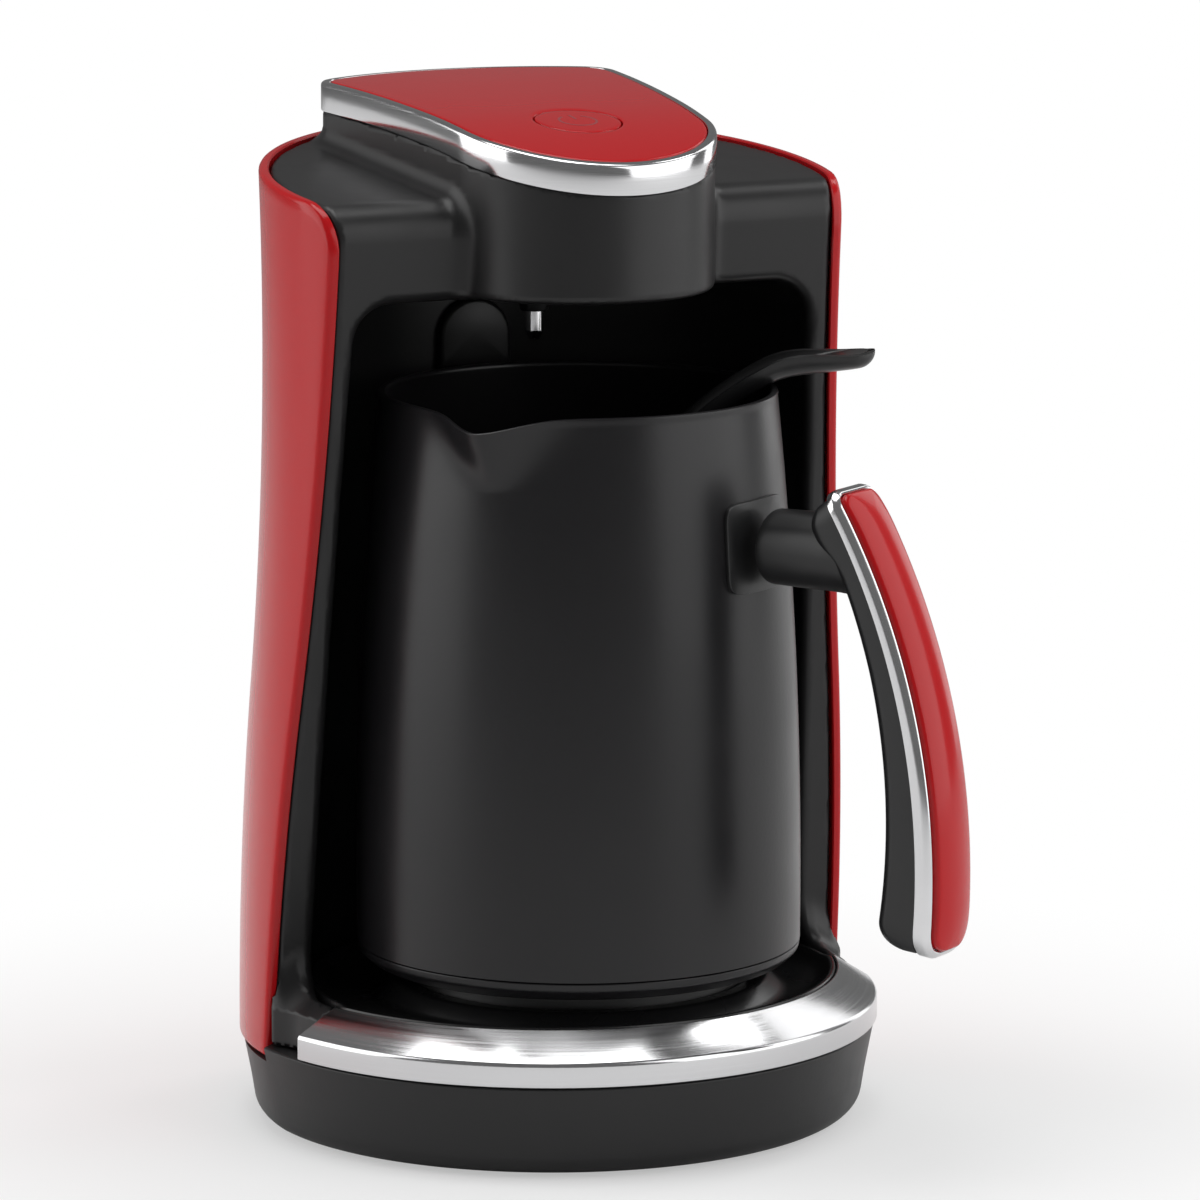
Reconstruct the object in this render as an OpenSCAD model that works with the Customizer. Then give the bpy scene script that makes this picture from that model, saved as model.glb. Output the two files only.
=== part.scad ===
// Electric Turkish coffee maker: round base, C-shaped tower with a forward head, lift-off pot and spoon.
// Millimetres. Z = 0 is the table, the base circle stands on the Z axis, the front faces -Y.

/* [Base] */
// radius of the steel ring that runs round the base
base_r = 70; // [60:0.5:80]
// height where the black tub ends and the steel ring starts
tub_top_z = 20.3; // [16:0.1:26]
// how far the foot of the tub's side stands in from the ring
tub_side_in = 2.5; // [1.5:0.1:6]
// corner radius between the tub's underside and its side
tub_corner_r = 9; // [4:0.5:12]
// wall thickness of the tub
tub_wall = 2.4; // [1.8:0.1:3.5]
// depth of the upright part of the steel ring
ring_band_h = 5.2; // [4:0.1:8]
// height of the ring's inner edge above the tub
ring_rise = 10.8; // [8:0.1:14]
// width of the ring's slope, seen from above
ring_slope_w = 8.6; // [6:0.1:12]
// sheet thickness of the ring
ring_sheet = 1.2; // [0.8:0.1:2]
// where the steel ring stops beside the tower's feet
ring_end_y = -17.6; // [-25:0.1:-10]

/* [Tower] */
// how far the red shell's foot stands in from the ring
shell_foot_in = 1.7; // [1.5:0.1:3]
// how much narrower the red shell is at its waist
shell_waist_in = 6.1; // [3:0.1:9]
// height of the waist
waist_z = 172; // [150:1:190]
// height of the shell's lower edge
shell_foot_z = 17.5; // [14:0.1:20]
// wall thickness of the red shell
shell_wall = 2.2; // [1.6:0.1:3]
// forward lean of the tower's front, in degrees
lean = 5.9; // [0:0.1:10]
// the front top corner of the tower seen from the side
corner_y = -19.6; // [-25:0.1:-10]
// height of that corner
corner_z = 201; // [190:0.5:215]
// rounding of the shell at that corner
shell_round = 10; // [4:0.5:15]
// rounding of the shoulders at that corner
shoulder_round = 7.5; // [3:0.5:12]

/* [Recess for the pot] */
// how far the recess centre lies from the base centre
recess_y = -10; // [-15:0.5:0]
// how far the wall of the recess stands in from the red shell's outside
recess_in = 9.5; // [8:0.1:12]
// height of the recess ceiling
ceiling_z = 180; // [170:0.5:190]
// rounding between the wall of the recess and its ceiling
ceiling_round = 8; // [4:0.5:12]

/* [Head] */
// radius of the round nose
nose_r = 29.2; // [25:0.1:32]
// centre of the nose
nose_y = -12.8; // [-15:0.1:-8]
// radius of the head's rear corners
rear_corner_r = 9; // [6:0.5:12]
// direction of the rear corners from the base centre, in degrees from the rear
rear_corner_turn = 30.5; // [26:0.5:34]
// how far the head's rear edge stands in from the red shell's waist
head_rear_in = 2.9; // [2.8:0.1:6]
// height of the head's top at its rear
head_top_z = 219.9; // [217:0.1:226]
// depth of the steel band round the head
band_h = 5.8; // [4:0.1:8]
// side view curve of the top: radius of the flat rear part
crown_rear_r = 622; // [500:2:800]
// side view curve of the top: radius of the falling front part
crown_front_r = 240; // [200:5:300]

/* [Button] */
// radius of the push button
button_r = 9.2; // [7:0.1:12]
// gap between the button and the plate
button_gap = 0.3; // [0.2:0.05:0.5]
// position of the button
button_y = -12.4; // [-15:0.1:-8]

/* [Pot] */
// position of the pot's axis
pot_y = -12.5; // [-15:0.5:-8]
// widest radius of the pot
pot_r = 47.7; // [44:0.1:50]
// height of the pot's underside when it stands on the heater plate
pot_foot_z = 36; // [34:0.1:40]
// height of the seam above the rounded bottom
pot_seam_z = 40.3; // [38:0.1:44]
// height of the rim
pot_rim_z = 159; // [150:0.5:165]
// wall thickness of the pot
pot_wall = 1.6; // [1.2:0.1:2.5]
// radius of the slow curve of the pot's wall, seen from the side
pot_curve_r = 1060; // [800:10:1500]
// direction of the spout, in degrees to the left of the front
spout_azimuth = 50; // [30:1:90]
// height of the spout
spout_depth = 22; // [15:0.5:30]
// radius of the spout's lip
spout_lip_r = 14; // [10:0.5:18]
// distance of the lip's centre from the pot's axis
spout_x = 38; // [34:0.5:42]
// direction of the handle, in degrees to the right of the front
handle_azimuth = 33; // [0:1:90]

/* [Handle] */
// radius of the grip's inner face
grip_in_r = 130; // [110:1:150]
// distance of the grip's curve centre from the pot's axis, on the far side
grip_centre_x = -49.4; // [-60:0.1:-40]
// height of the grip's curve centre
grip_centre_z = 72; // [60:1:90]
// radius of the grip's outer face, under the bright trim
grip_face_r = 147.7; // [140:0.1:155]
// distance of the outer face's curve centre from the pot's axis, on the far side
face_centre_x = -60; // [-65:0.5:-55]
// height of the outer face's curve centre
face_centre_z = 62; // [58:0.5:66]
// width of the grip
grip_w = 17; // [12:0.5:22]
// lower end of the grip, in degrees
grip_low = -6.1; // [-12:0.1:0]
// upper end of the grip, in degrees
grip_high = 32.4; // [20:0.1:36]

/* [Spoon] */
// direction in which the spoon leans out, in degrees to the right of the front
spoon_azimuth = 72; // [60:1:80]
// slope of the spoon's outer end, in degrees
spoon_tip_slope = 8; // [0:1:15]
// steepness of the spoon's straight part inside the pot, in degrees
spoon_dip = 52; // [45:1:58]
// radius of the bend that carries the spoon over the rim
spoon_bend_r = 75; // [60:1:90]
// how far the spoon's end stands out from the pot's axis
spoon_reach = 64; // [60:0.5:70]
// width of the spoon
spoon_w = 10.4; // [8:0.2:12]

/* [Hidden] */
$fn = 96;
gap = 0.3;                       // clearance between parts that only touch
far = 400;                       // longer than the object, for cutting blocks
join_step = 0.03;                // lets a side or edge cross the arc that it runs into, instead of touching it
ring_top_z = tub_top_z + ring_rise;
ring_inner_r = base_r - ring_slope_w;
tub_floor_r = base_r - tub_side_in - tub_corner_r;
foot_out_r = base_r - 16.5;      // the foot ring's edges
foot_in_r = base_r - 26.8;
shell_foot_r = base_r - shell_foot_in;
shell_waist_r = shell_foot_r - shell_waist_in;
recess_r = shell_foot_r - recess_in;
recess_top_r = shell_waist_r - recess_in;
head_rear_r = shell_waist_r - head_rear_in;
shell_curve_h = (waist_z - shell_foot_z) / 2;
shell_curve_x = (shell_foot_r - shell_waist_r) / 2;
shell_curve_r = (shell_curve_h * shell_curve_h + shell_curve_x * shell_curve_x) / (2 * shell_curve_x);
housing_inset = shell_wall + gap;
housing_wall = 2.4;
housing_foot_z = tub_top_z + gap;
tub_floor_z = 0.6;               // the tub's underside, carried clear of the table by the foot ring
tub_flare = tub_side_in - 0.6;   // how far the tub's side leans out
tub_draw_in = 4;                 // how far the tub's rear is drawn in
deck_z = 28.8;                   // top of the deck
deck_floor_z = 26.4;             // underside of the deck
heater_r = pot_r - 11.7;
heater_top_z = pot_foot_z - 0.1;
crown_y = 58;                    // where the top is level
crown_join_z = head_top_z - crown_rear_r + sqrt(crown_rear_r * crown_rear_r - crown_y * crown_y);
front_arc_y = crown_y * crown_front_r / crown_rear_r;
front_arc_z = crown_join_z - (crown_join_z - head_top_z + crown_rear_r) * crown_front_r / crown_rear_r;
crown_join_angle = -asin(crown_y / crown_rear_r);
crown_front_angle = -17;
crown_end_y = 66;                // behind the head's rear edge
crown_steps = 8;                 // flats that make each arc of the top
tower_bands = 18;                // bands that make the tower's side
pot_bands = 10;                  // bands that make the pot's side
button_z = front_arc_z + sqrt(pow(crown_front_r, 2) - pow(front_arc_y - button_y, 2));
button_tilt = asin((front_arc_y - button_y) / crown_front_r);
screw_places = base_r * [[-0.54, -0.4], [0.54, -0.4], [-0.486, 0.45], [0.486, 0.45]];
rear_posts = base_r * [[-0.514, 0.628], [0.514, 0.628]];
clamp_screw_r = 44.5;
board_pins = [[-18, 42], [18, 42]];
board_rests = [[-18, 26], [18, 26]];
board_posts = [[-13, 12], [13, 12], [-12, -10.5], [12, -10.5]];
control_screws = [79, 143];
gland_z = 11;
gland_y = base_r - 10.3;
stem_z = 129.5;
spoon_h = 4.6;                   // height of the spoon's channel
bowl_r = 9;

// ---------- shared shapes ----------

// everything in front of (-1) or behind (+1) an upright plane at y
module half_space(y, side) {
    translate([-far / 2, side > 0 ? y : y - far, -far / 2])
        cube([far, far, far]);
}

// outer radius of the tower at a height: two tangent arcs make the foot flare and the waist
function tower_r(z) =
    z < shell_foot_z + shell_curve_h
        ? shell_foot_r - shell_curve_r + sqrt(pow(shell_curve_r, 2) - pow(z - shell_foot_z, 2))
        : shell_waist_r + shell_curve_r - sqrt(pow(shell_curve_r, 2) - pow(z - waist_z, 2));

// the tower's outside as a solid of revolution, reduced by inset
module tower_round(inset, low_z) {
    top_z = 214;
    step = (top_z - low_z) / tower_bands;
    rotate_extrude()
        polygon(concat(
            [[0, low_z]],
            [for (i = [0 : tower_bands]) [tower_r(low_z + i * step) - inset, low_z + i * step]],
            [[0, top_z]]
        ));
}

// the tower's side view, extruded across: a leaning block with a rounded front top corner
module tower_side(round_r, inset) {
    rotate([90, 0, 90])
        translate([0, 0, -far / 2])
            linear_extrude(height = far)
                translate([corner_y, corner_z])
                    rotate(lean)
                        translate([inset, -inset]) {
                            translate([round_r, -far])
                                square([far, far]);
                            translate([0, -far])
                                square([round_r + 1, far - round_r]);
                            translate([round_r, -round_r])
                                circle(r = round_r);
                        }
}

// plan outline of the head, grown or shrunk: nose circle, straight sides, rear edge that follows the tower
module head_outline(grow) {
    corner = (head_rear_r - rear_corner_r) * [sin(rear_corner_turn), cos(rear_corner_turn)];
    run = corner - [0, nose_y];
    turn = atan2(run[1], run[0]) - acos((nose_r - rear_corner_r) / norm(run));
    side = [cos(turn), sin(turn)];
    edge = 2 * [corner[0] * (1 - join_step), corner[1]];
    front = [0, nose_y] + (nose_r + grow - join_step) * side;
    back = corner + (rear_corner_r + grow - join_step) * side;
    translate([0, nose_y])
        circle(r = nose_r + grow);
    for (s = [-1, 1])
        translate([s * corner[0], corner[1]])
            circle(r = rear_corner_r + grow);
    polygon([
        [front[0], front[1]], [back[0], back[1]], [corner[0], corner[1]],
        [-corner[0], corner[1]], [-back[0], back[1]], [-front[0], front[1]]
    ]);
    intersection() {
        circle(r = head_rear_r + grow);
        polygon([[0, 0], edge, [-edge[0], edge[1]]]);
    }
}

// everything below the curved top of the head, moved by rise along its normal
module below_crown(rise) {
    rotate([90, 0, 90])
        translate([0, 0, -far / 2])
            linear_extrude(height = far)
                polygon(concat(
                    [[-50, 150]],
                    [for (i = [0 : crown_steps])
                        let (a = crown_front_angle + i * (crown_join_angle - crown_front_angle) / crown_steps)
                        [front_arc_y, front_arc_z] + (crown_front_r + rise) * [sin(a), cos(a)]],
                    [for (i = [1 : crown_steps])
                        let (a = crown_join_angle * (1 - i / crown_steps))
                        [crown_y, head_top_z - crown_rear_r] + (crown_rear_r + rise) * [sin(a), cos(a)]],
                    [[crown_end_y, head_top_z + rise], [crown_end_y, 150]]
                ));
}

// the recess the pot stands in, grown by the wall around it
module recess(grow, low_z) {
    top_r = recess_top_r + grow;
    top_z = ceiling_z + grow;
    round_r = ceiling_round + grow;
    slope = (recess_r - recess_top_r) / (ceiling_z - tub_top_z);
    translate([0, recess_y, 0])
        rotate_extrude() {
            polygon([
                [0, low_z], [recess_r + grow + slope * (tub_top_z - low_z), low_z],
                [top_r + slope * round_r, top_z - round_r], [top_r - round_r, top_z - round_r],
                [top_r - round_r, top_z], [0, top_z]
            ]);
            translate([top_r - round_r + slope * round_r, top_z - round_r])
                circle(r = round_r);
        }
}

// section of the base ring: an upright band and a slope rising inwards
module ring_section() {
    polygon([
        [base_r, tub_top_z + gap], [base_r, tub_top_z + ring_band_h], [ring_inner_r, ring_top_z],
        [ring_inner_r, ring_top_z - ring_sheet - 0.6], [base_r - ring_sheet, tub_top_z + ring_band_h - 1.6],
        [base_r - ring_sheet, tub_top_z + gap]
    ]);
}

// move into the pot's frame, x pointing along an azimuth to the right of the front
module pot_frame(azimuth) {
    translate([0, pot_y, 0])
        rotate([0, 0, azimuth - 90])
            children();
}

// move into the button's frame, z along its travel
module button_frame() {
    translate([0, button_y, button_z])
        rotate([button_tilt, 0, 0])
            children();
}

// ---------- base ----------

// the tub's outside as a solid of revolution, reduced by inset
module tub_round(inset) {
    side_r = tub_floor_r + tub_corner_r;
    corner_z = tub_floor_z + tub_corner_r;
    rotate_extrude()
        difference() {
            union() {
                translate([0, tub_floor_z + inset])
                    square([tub_floor_r, tub_corner_r]);
                translate([tub_floor_r, corner_z])
                    circle(r = tub_corner_r - inset);
                polygon([
                    [0, corner_z], [side_r - inset, corner_z],
                    [side_r + tub_flare - inset, tub_top_z], [0, tub_top_z]
                ]);
            }
            translate([-far, -far])
                square([far, 2 * far]);
        }
}

// the same with the rear drawn in, so that it passes inside the red shell
module tub_outside(inset) {
    intersection() {
        tub_round(inset);
        translate([0, -tub_draw_in, 0])
            tub_round(inset);
    }
}

module base_tub() {
    color("#2b2b2c")
        difference() {
            union() {
                difference() {
                    tub_outside(0);
                    difference() {
                        translate([0, 0, 0.5])
                            tub_outside(tub_wall);
                        translate([0, 0, -1])
                            cylinder(r = far, h = 1 + tub_floor_z + tub_wall);
                    }
                }
                // inner rim that carries the housing
                intersection() {
                    tub_outside(0);
                    rotate_extrude()
                        translate([shell_foot_r - shell_wall - gap - 2.6, tub_top_z - 6])
                            square([2.6, 6]);
                    half_space(-17, 1);
                }
                // bosses for the screws
                for (p = screw_places)
                    translate([p[0], p[1], 2])
                        cylinder(r = 4.2, h = 9.7);
                intersection() {
                    tub_outside(0);
                    for (p = rear_posts)
                        translate([p[0], p[1], 2])
                            cylinder(r = 4.2, h = tub_top_z - 2);
                }
                // standoffs and pins for the power board
                for (p = concat(board_pins, board_rests))
                    translate([p[0], p[1], 2])
                        cylinder(r = 3, h = 10.3);
                for (p = board_pins)
                    translate([p[0], p[1], 2])
                        cylinder(r = 1.5, h = 13.4);
            }
            // groove for the foot ring
            translate([0, 0, -1])
                difference() {
                    cylinder(r = foot_out_r + 0.2, h = 2.8);
                    cylinder(r = foot_in_r - 0.2, h = 2.8);
                }
            // counterbored screw holes
            for (p = screw_places)
                translate([p[0], p[1], -1]) {
                    cylinder(r = 3.1, h = 8);
                    cylinder(r = 1.6, h = 20);
                }
            for (p = rear_posts)
                translate([p[0], p[1], -1]) {
                    cylinder(r = 3.1, h = 17);
                    cylinder(r = 1.6, h = 30);
                }
            // rebate that lets the red shell's foot pass
            intersection() {
                translate([0, 0, shell_foot_z - gap])
                    difference() {
                        cylinder(r = base_r + 10, h = 10);
                        cylinder(r = shell_foot_r - shell_wall - gap, h = 10);
                    }
                half_space(-1.2, 1);
            }
            // hole for the cord gland in the rear wall
            translate([0, gland_y - 9.7, gland_z])
                rotate([-90, 0, 0])
                    cylinder(r = 5, h = 30);
        }
}

module foot_ring() {
    color("#1b1b1c")
        rotate_extrude()
            polygon([[foot_in_r, 0], [foot_out_r, 0], [foot_out_r, 1.7], [foot_in_r, 1.7]]);
}

module trim_ring() {
    color("#c9cacc")
        intersection() {
            rotate_extrude()
                ring_section();
            half_space(ring_end_y, -1);
        }
}

module deck_outline(shrink) {
    intersection() {
        circle(r = ring_inner_r - gap - shrink);
        union() {
            translate([0, recess_y])
                circle(r = recess_r - 0.9 - shrink);
            translate([-far / 2, ring_end_y - far])
                square([far, far]);
        }
    }
}

module pot_deck() {
    color("#242425")
        difference() {
            union() {
                translate([0, 0, deck_floor_z])
                    linear_extrude(height = deck_z - deck_floor_z)
                        deck_outline(0);
                // lip round the edge
                translate([0, 0, deck_z - 0.1])
                    linear_extrude(height = ring_top_z - deck_z + 0.3)
                        difference() {
                            deck_outline(0);
                            deck_outline(2);
                        }
                // raised seat round the heater plate
                translate([0, pot_y, deck_z - 0.1])
                    cylinder(r1 = heater_r + 7, r2 = heater_r + 4, h = 3.7);
                // posts for the base screws
                for (p = screw_places)
                    translate([p[0], p[1], 12])
                        cylinder(r = 3.6, h = deck_floor_z - 11.9);
                // posts for the clamp screws
                for (a = [30, 150, 270])
                    translate([clamp_screw_r * cos(a), pot_y + clamp_screw_r * sin(a), deck_floor_z - 3])
                        cylinder(r = 3.2, h = 3.1);
            }
            translate([0, pot_y, 0])
                cylinder(r = heater_r + 0.4, h = 60);
            translate([0, pot_y, 0])
                cylinder(r = heater_r + 3, h = 29.4);
            for (p = screw_places)
                translate([p[0], p[1], 0])
                    cylinder(r = 1.5, h = 24);
            for (a = [30, 150, 270])
                translate([clamp_screw_r * cos(a), pot_y + clamp_screw_r * sin(a), 0])
                    cylinder(r = 1.2, h = deck_floor_z + 1);
        }
}

module heater_plate() {
    color("#8d8f92")
        translate([0, pot_y, 0])
            rotate_extrude()
                polygon([
                    [0, heater_top_z], [heater_r - 0.6, heater_top_z], [heater_r, heater_top_z - 0.6],
                    [heater_r, 29.2], [heater_r + 2.6, 29.2], [heater_r + 2.6, 27.6], [heater_r - 3, 27.6],
                    [heater_r - 3, 33], [0, 33]
                ]);
}

module heating_element() {
    color("#6f7072")
        translate([0, pot_y, 0]) {
            rotate([0, 0, 120])
                rotate_extrude(angle = 300)
                    translate([24, 29.8])
                        circle(r = 3);
            for (a = [129, 51])
                translate([24 * cos(a), 24 * sin(a), 15])
                    cylinder(r = 2.4, h = 14.8);
        }
}

module heater_clamp() {
    color("#a9abae")
        translate([0, pot_y, 0])
            difference() {
                union() {
                    translate([0, 0, 21.6])
                        linear_extrude(height = 1.5)
                            for (a = [30, 150, 270])
                                rotate(a)
                                    translate([0, -5])
                                        square([clamp_screw_r + 4, 10]);
                    translate([0, 0, 21.6])
                        cylinder(r = 16, h = 1.5);
                    for (a = [30, 150, 270])
                        rotate([0, 0, a])
                            translate([heater_r - 4, -4, 22])
                                cube([2.4, 8, 5.5]);
                }
                translate([0, 0, 20])
                    cylinder(r = 9, h = 5);
                for (a = [30, 150, 270])
                    translate([clamp_screw_r * cos(a), clamp_screw_r * sin(a), 20])
                        cylinder(r = 1.4, h = 5);
            }
}

module clamp_screws() {
    color("#b5b6b8")
        for (a = [30, 150, 270])
            translate([clamp_screw_r * cos(a), pot_y + clamp_screw_r * sin(a), 0]) {
                translate([0, 0, 19.9])
                    cylinder(r = 2.4, h = 1.6);
                translate([0, 0, 21])
                    cylinder(r = 1.18, h = 5.4);
            }
}

module base_thermostat() {
    color("#c6bfa8")
        translate([0, pot_y, 0])
            rotate_extrude()
                polygon([
                    [0, 32.8], [8, 32.8], [8, 27], [6.5, 27], [6.5, 20.5], [3, 20.5], [3, 18], [0, 18]
                ]);
}

module power_board() {
    color("#3c6b3d")
        difference() {
            translate([-22, 22, 12.6])
                cube([44, 24, 1.6]);
            for (p = board_pins)
                translate([p[0], p[1], 10])
                    cylinder(r = 1.56, h = 6);
        }
}

module power_relay() {
    color("#31506f")
        translate([-6, 26, 14.3])
            difference() {
                cube([15, 12, 9]);
                translate([-1, -1, 8.2])
                    cube([1.8, 14, 2]);
            }
}

module base_screws() {
    color("#b5b6b8")
        for (p = concat(
            [for (q = screw_places) [q[0], q[1], 0]],
            [for (q = rear_posts) [q[0], q[1], 9]]
        ))
            translate(p) {
                translate([0, 0, 4.6])
                    cylinder(r = 2.8, h = 2.2);
                translate([0, 0, 6])
                    cylinder(r = 1.48, h = 16);
            }
}

module cord_gland() {
    color("#1c1c1d")
        translate([0, gland_y, gland_z])
            rotate([-90, 0, 0])
                rotate_extrude()
                    polygon([
                        [2.6, 0], [4.9, 0], [4.9, 5.6], [6.4, 5.6], [6.4, 7], [4.2, 8.4], [2.6, 8.4]
                    ]);
}

// ---------- tower ----------

module inner_housing() {
    color("#262627")
        difference() {
            union() {
                // arms, shoulders and rear wall
                intersection() {
                    tower_round(housing_inset, housing_foot_z);
                    tower_side(shoulder_round, 0.5);
                }
                // feet that carry the ring's line on to the shell
                intersection() {
                    rotate_extrude()
                        polygon([
                            [52, housing_foot_z], [base_r - 0.4, housing_foot_z],
                            [base_r - 0.4, tub_top_z + ring_band_h], [ring_inner_r, ring_top_z],
                            [52, ring_top_z]
                        ]);
                    half_space(ring_end_y + gap, 1);
                    union() {
                        half_space(-2.3, -1);
                        cylinder(r = shell_foot_r - housing_inset - 0.5, h = 60);
                    }
                    half_space(4, -1);
                }
                // the head up to the steel band
                intersection() {
                    translate([0, 0, ceiling_z])
                        linear_extrude(height = 60)
                            head_outline(-0.4);
                    below_crown(-band_h - gap);
                }
            }
            recess(0, 10);
            // room for the board behind the recess
            difference() {
                intersection() {
                    tower_round(housing_inset + housing_wall, 10);
                    tower_side(shoulder_round, 3.4);
                    half_space(8, 1);
                }
                recess(housing_wall, 5);
                for (p = rear_posts) {
                    translate([p[0], p[1], 0])
                        cylinder(r = 3.6, h = 40);
                    translate([p[0], p[1], 0])
                        rotate([0, 0, atan2(p[1], p[0])])
                            translate([0, -1, 0])
                                cube([12, 2, 40]);
                }
                for (z = control_screws)
                    translate([0, 40, z])
                        rotate([-90, 0, 0])
                            cylinder(r = 3.4, h = 11.7);
            }
            for (z = control_screws)
                translate([0, 49.4, z])
                    rotate([-90, 0, 0])
                        cylinder(r = 1.5, h = 4);
            // room in the head
            translate([0, 0, ceiling_z + 3])
                linear_extrude(height = 60)
                    head_outline(-3.4);
            for (p = rear_posts)
                translate([p[0], p[1], 0])
                    cylinder(r = 1.5, h = 32);
            // hole for the probe in the ceiling
            translate([0, 10, ceiling_z - 5])
                cylinder(r = 3.6, h = 20);
        }
}

module outer_shell() {
    color("#a8262b")
        difference() {
            intersection() {
                tower_round(0, shell_foot_z);
                tower_side(shell_round, 0);
            }
            tower_round(shell_wall, shell_foot_z - 5);
            translate([0, 0, -1])
                cylinder(r = shell_foot_r - shell_wall, h = shell_foot_z + 2);
        }
}

module head_band() {
    color("#c9cacc")
        difference() {
            intersection() {
                translate([0, 0, 190])
                    linear_extrude(height = 60)
                        difference() {
                            head_outline(0);
                            head_outline(-1.6);
                        }
                below_crown(0);
            }
            below_crown(-band_h);
        }
}

module top_plate() {
    color("#b02a2e")
        difference() {
            union() {
                // the visible plate
                difference() {
                    intersection() {
                        translate([0, 0, 190])
                            linear_extrude(height = 60)
                                head_outline(-1.9);
                        below_crown(0.5);
                    }
                    below_crown(-2);
                }
                // skirt that locates it in the head
                difference() {
                    intersection() {
                        translate([0, 0, 190])
                            linear_extrude(height = 60)
                                difference() {
                                    head_outline(-3.7);
                                    head_outline(-5.4);
                                }
                        below_crown(-1);
                    }
                    below_crown(-9);
                }
                // posts and pins for the switch board
                button_frame()
                    for (p = board_posts)
                        translate([p[0], p[1], 0]) {
                            translate([0, 0, -10.4])
                                cylinder(r = 2.4, h = 9.2);
                            translate([0, 0, -13.2])
                                cylinder(r = 1.3, h = 12);
                        }
            }
            button_frame()
                translate([0, 0, -5.6])
                    cylinder(r = button_r + button_gap, h = 40);
        }
}

// power symbol cut into the button: a broken ring and a bar
module power_symbol() {
    rotate([0, 0, 120])
        rotate_extrude(angle = 300)
            translate([3.7, 0])
                square([0.7, 2]);
    translate([-0.35, 1.2, 0])
        cube([0.7, 3.6, 2]);
}

module power_button() {
    color("#b02a2e") {
        difference() {
            intersection() {
                button_frame()
                    translate([0, 0, -2.9])
                        cylinder(r = button_r, h = 8);
                below_crown(0.5);
            }
            button_frame()
                power_symbol();
        }
        button_frame()
            translate([0, 0, -4.2])
                cylinder(r = button_r + 1.6, h = 1.5);
        button_frame()
            translate([0, 0, -6.4])
                cylinder(r = 2.4, h = 2.4);
    }
}

module switch_board() {
    color("#3c6b3d")
        button_frame()
            difference() {
                translate([-17, -14, -12.3])
                    cube([34, 30, 1.6]);
                for (p = board_posts)
                    translate([p[0], p[1], -14])
                        cylinder(r = 1.36, h = 6);
            }
}

module tact_switch() {
    color("#3a3a3c")
        button_frame() {
            translate([-3, -3, -10.6])
                cube([6, 6, 2.6]);
            translate([0, 0, -8.1])
                cylinder(r = 1.7, h = 0.7);
        }
}

module status_led() {
    color("#e8e4d8")
        button_frame()
            translate([6, 0, -10.6]) {
                cylinder(r = 1.5, h = 2.4);
                translate([0, 0, 2.4])
                    sphere(r = 1.5);
            }
}

module control_board() {
    color("#3c6b3d")
        union() {
            difference() {
                translate([-19, 52, 74])
                    cube([38, 1.6, 74]);
                for (z = control_screws)
                    translate([0, 50, z])
                        rotate([-90, 0, 0])
                            cylinder(r = 1.6, h = 6);
            }
            translate([-14, 53.5, 96])
                cube([10, 3, 8]);
            translate([4, 53.5, 112])
                cube([12, 2.4, 12]);
        }
}

module board_screws() {
    color("#b5b6b8")
        for (z = control_screws)
            translate([0, 0, z]) {
                translate([0, 53.7, 0])
                    rotate([-90, 0, 0])
                        cylinder(r = 2.6, h = 1.6);
                translate([0, 49.8, 0])
                    rotate([-90, 0, 0])
                        cylinder(r = 1.48, h = 4.2);
            }
}

module sensor_probe() {
    color("#d8dadb")
        translate([0, 10, 0])
            rotate_extrude()
                polygon([[0, 166.6], [1.4, 166.6], [2, 167.4], [2, 184], [0, 184]]);
}

module probe_collar() {
    color("#1c1c1d")
        translate([0, 10, 0])
            rotate_extrude()
                polygon([
                    [2.05, 173], [3.1, 173], [3.5, 176], [3.5, 178.4], [5.6, 178.4],
                    [5.6, 179.8], [3.5, 179.8], [3.5, 183], [2.05, 183]
                ]);
}

module vent_hood() {
    half_w = 8.5;
    front_y = 40.6;
    low_z = 156.4;
    color("#1f1f20")
        difference() {
            intersection() {
                recess(-0.15, 100);
                translate([0, front_y + 12, 0])
                    rotate([90, 0, 0])
                        linear_extrude(height = 12) {
                            translate([0, low_z + 7])
                                circle(r = half_w);
                            translate([-half_w, low_z])
                                square([2 * half_w, 7]);
                        }
            }
            translate([1.6 - half_w, front_y + 1.2, low_z - 5])
                cube([2 * half_w - 3.2, 12, 13]);
        }
}

// ---------- pot ----------

// outer radius of the pot at a height: one slow arc
function pot_wall_r(z) = pot_r - pot_curve_r + sqrt(pow(pot_curve_r, 2) - pow(z - pot_seam_z - 12, 2));

// the pot's outside between two heights, reduced by inset
module pot_round(inset, low_z, high_z) {
    step = (high_z - low_z) / pot_bands;
    rotate_extrude()
        polygon(concat(
            [[0, low_z]],
            [for (i = [0 : pot_bands]) [pot_wall_r(low_z + i * step) - inset, low_z + i * step]],
            [[0, high_z]]
        ));
}

// the spout's outside, reduced by inset: a cone on its point
module spout_cone(inset) {
    point_z = pot_rim_z - spout_depth + inset * spout_depth / spout_lip_r;
    height = pot_rim_z + 2 - point_z;
    rotate([0, 0, 90 - spout_azimuth])
        translate([-spout_x, 0, point_z])
            cylinder(r1 = 0, r2 = height * spout_lip_r / spout_depth, h = height);
}

module pot_body() {
    color("#2e2d2f")
        translate([0, pot_y, 0])
            difference() {
                union() {
                    pot_round(0, pot_seam_z + 0.1, pot_rim_z + 2);
                    spout_cone(0);
                }
                pot_round(pot_wall, pot_seam_z + 2, pot_rim_z + 3);
                spout_cone(pot_wall);
                // the rim
                translate([-far / 2, -far / 2, pot_rim_z])
                    cube([far, far, 20]);
            }
}

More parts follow.
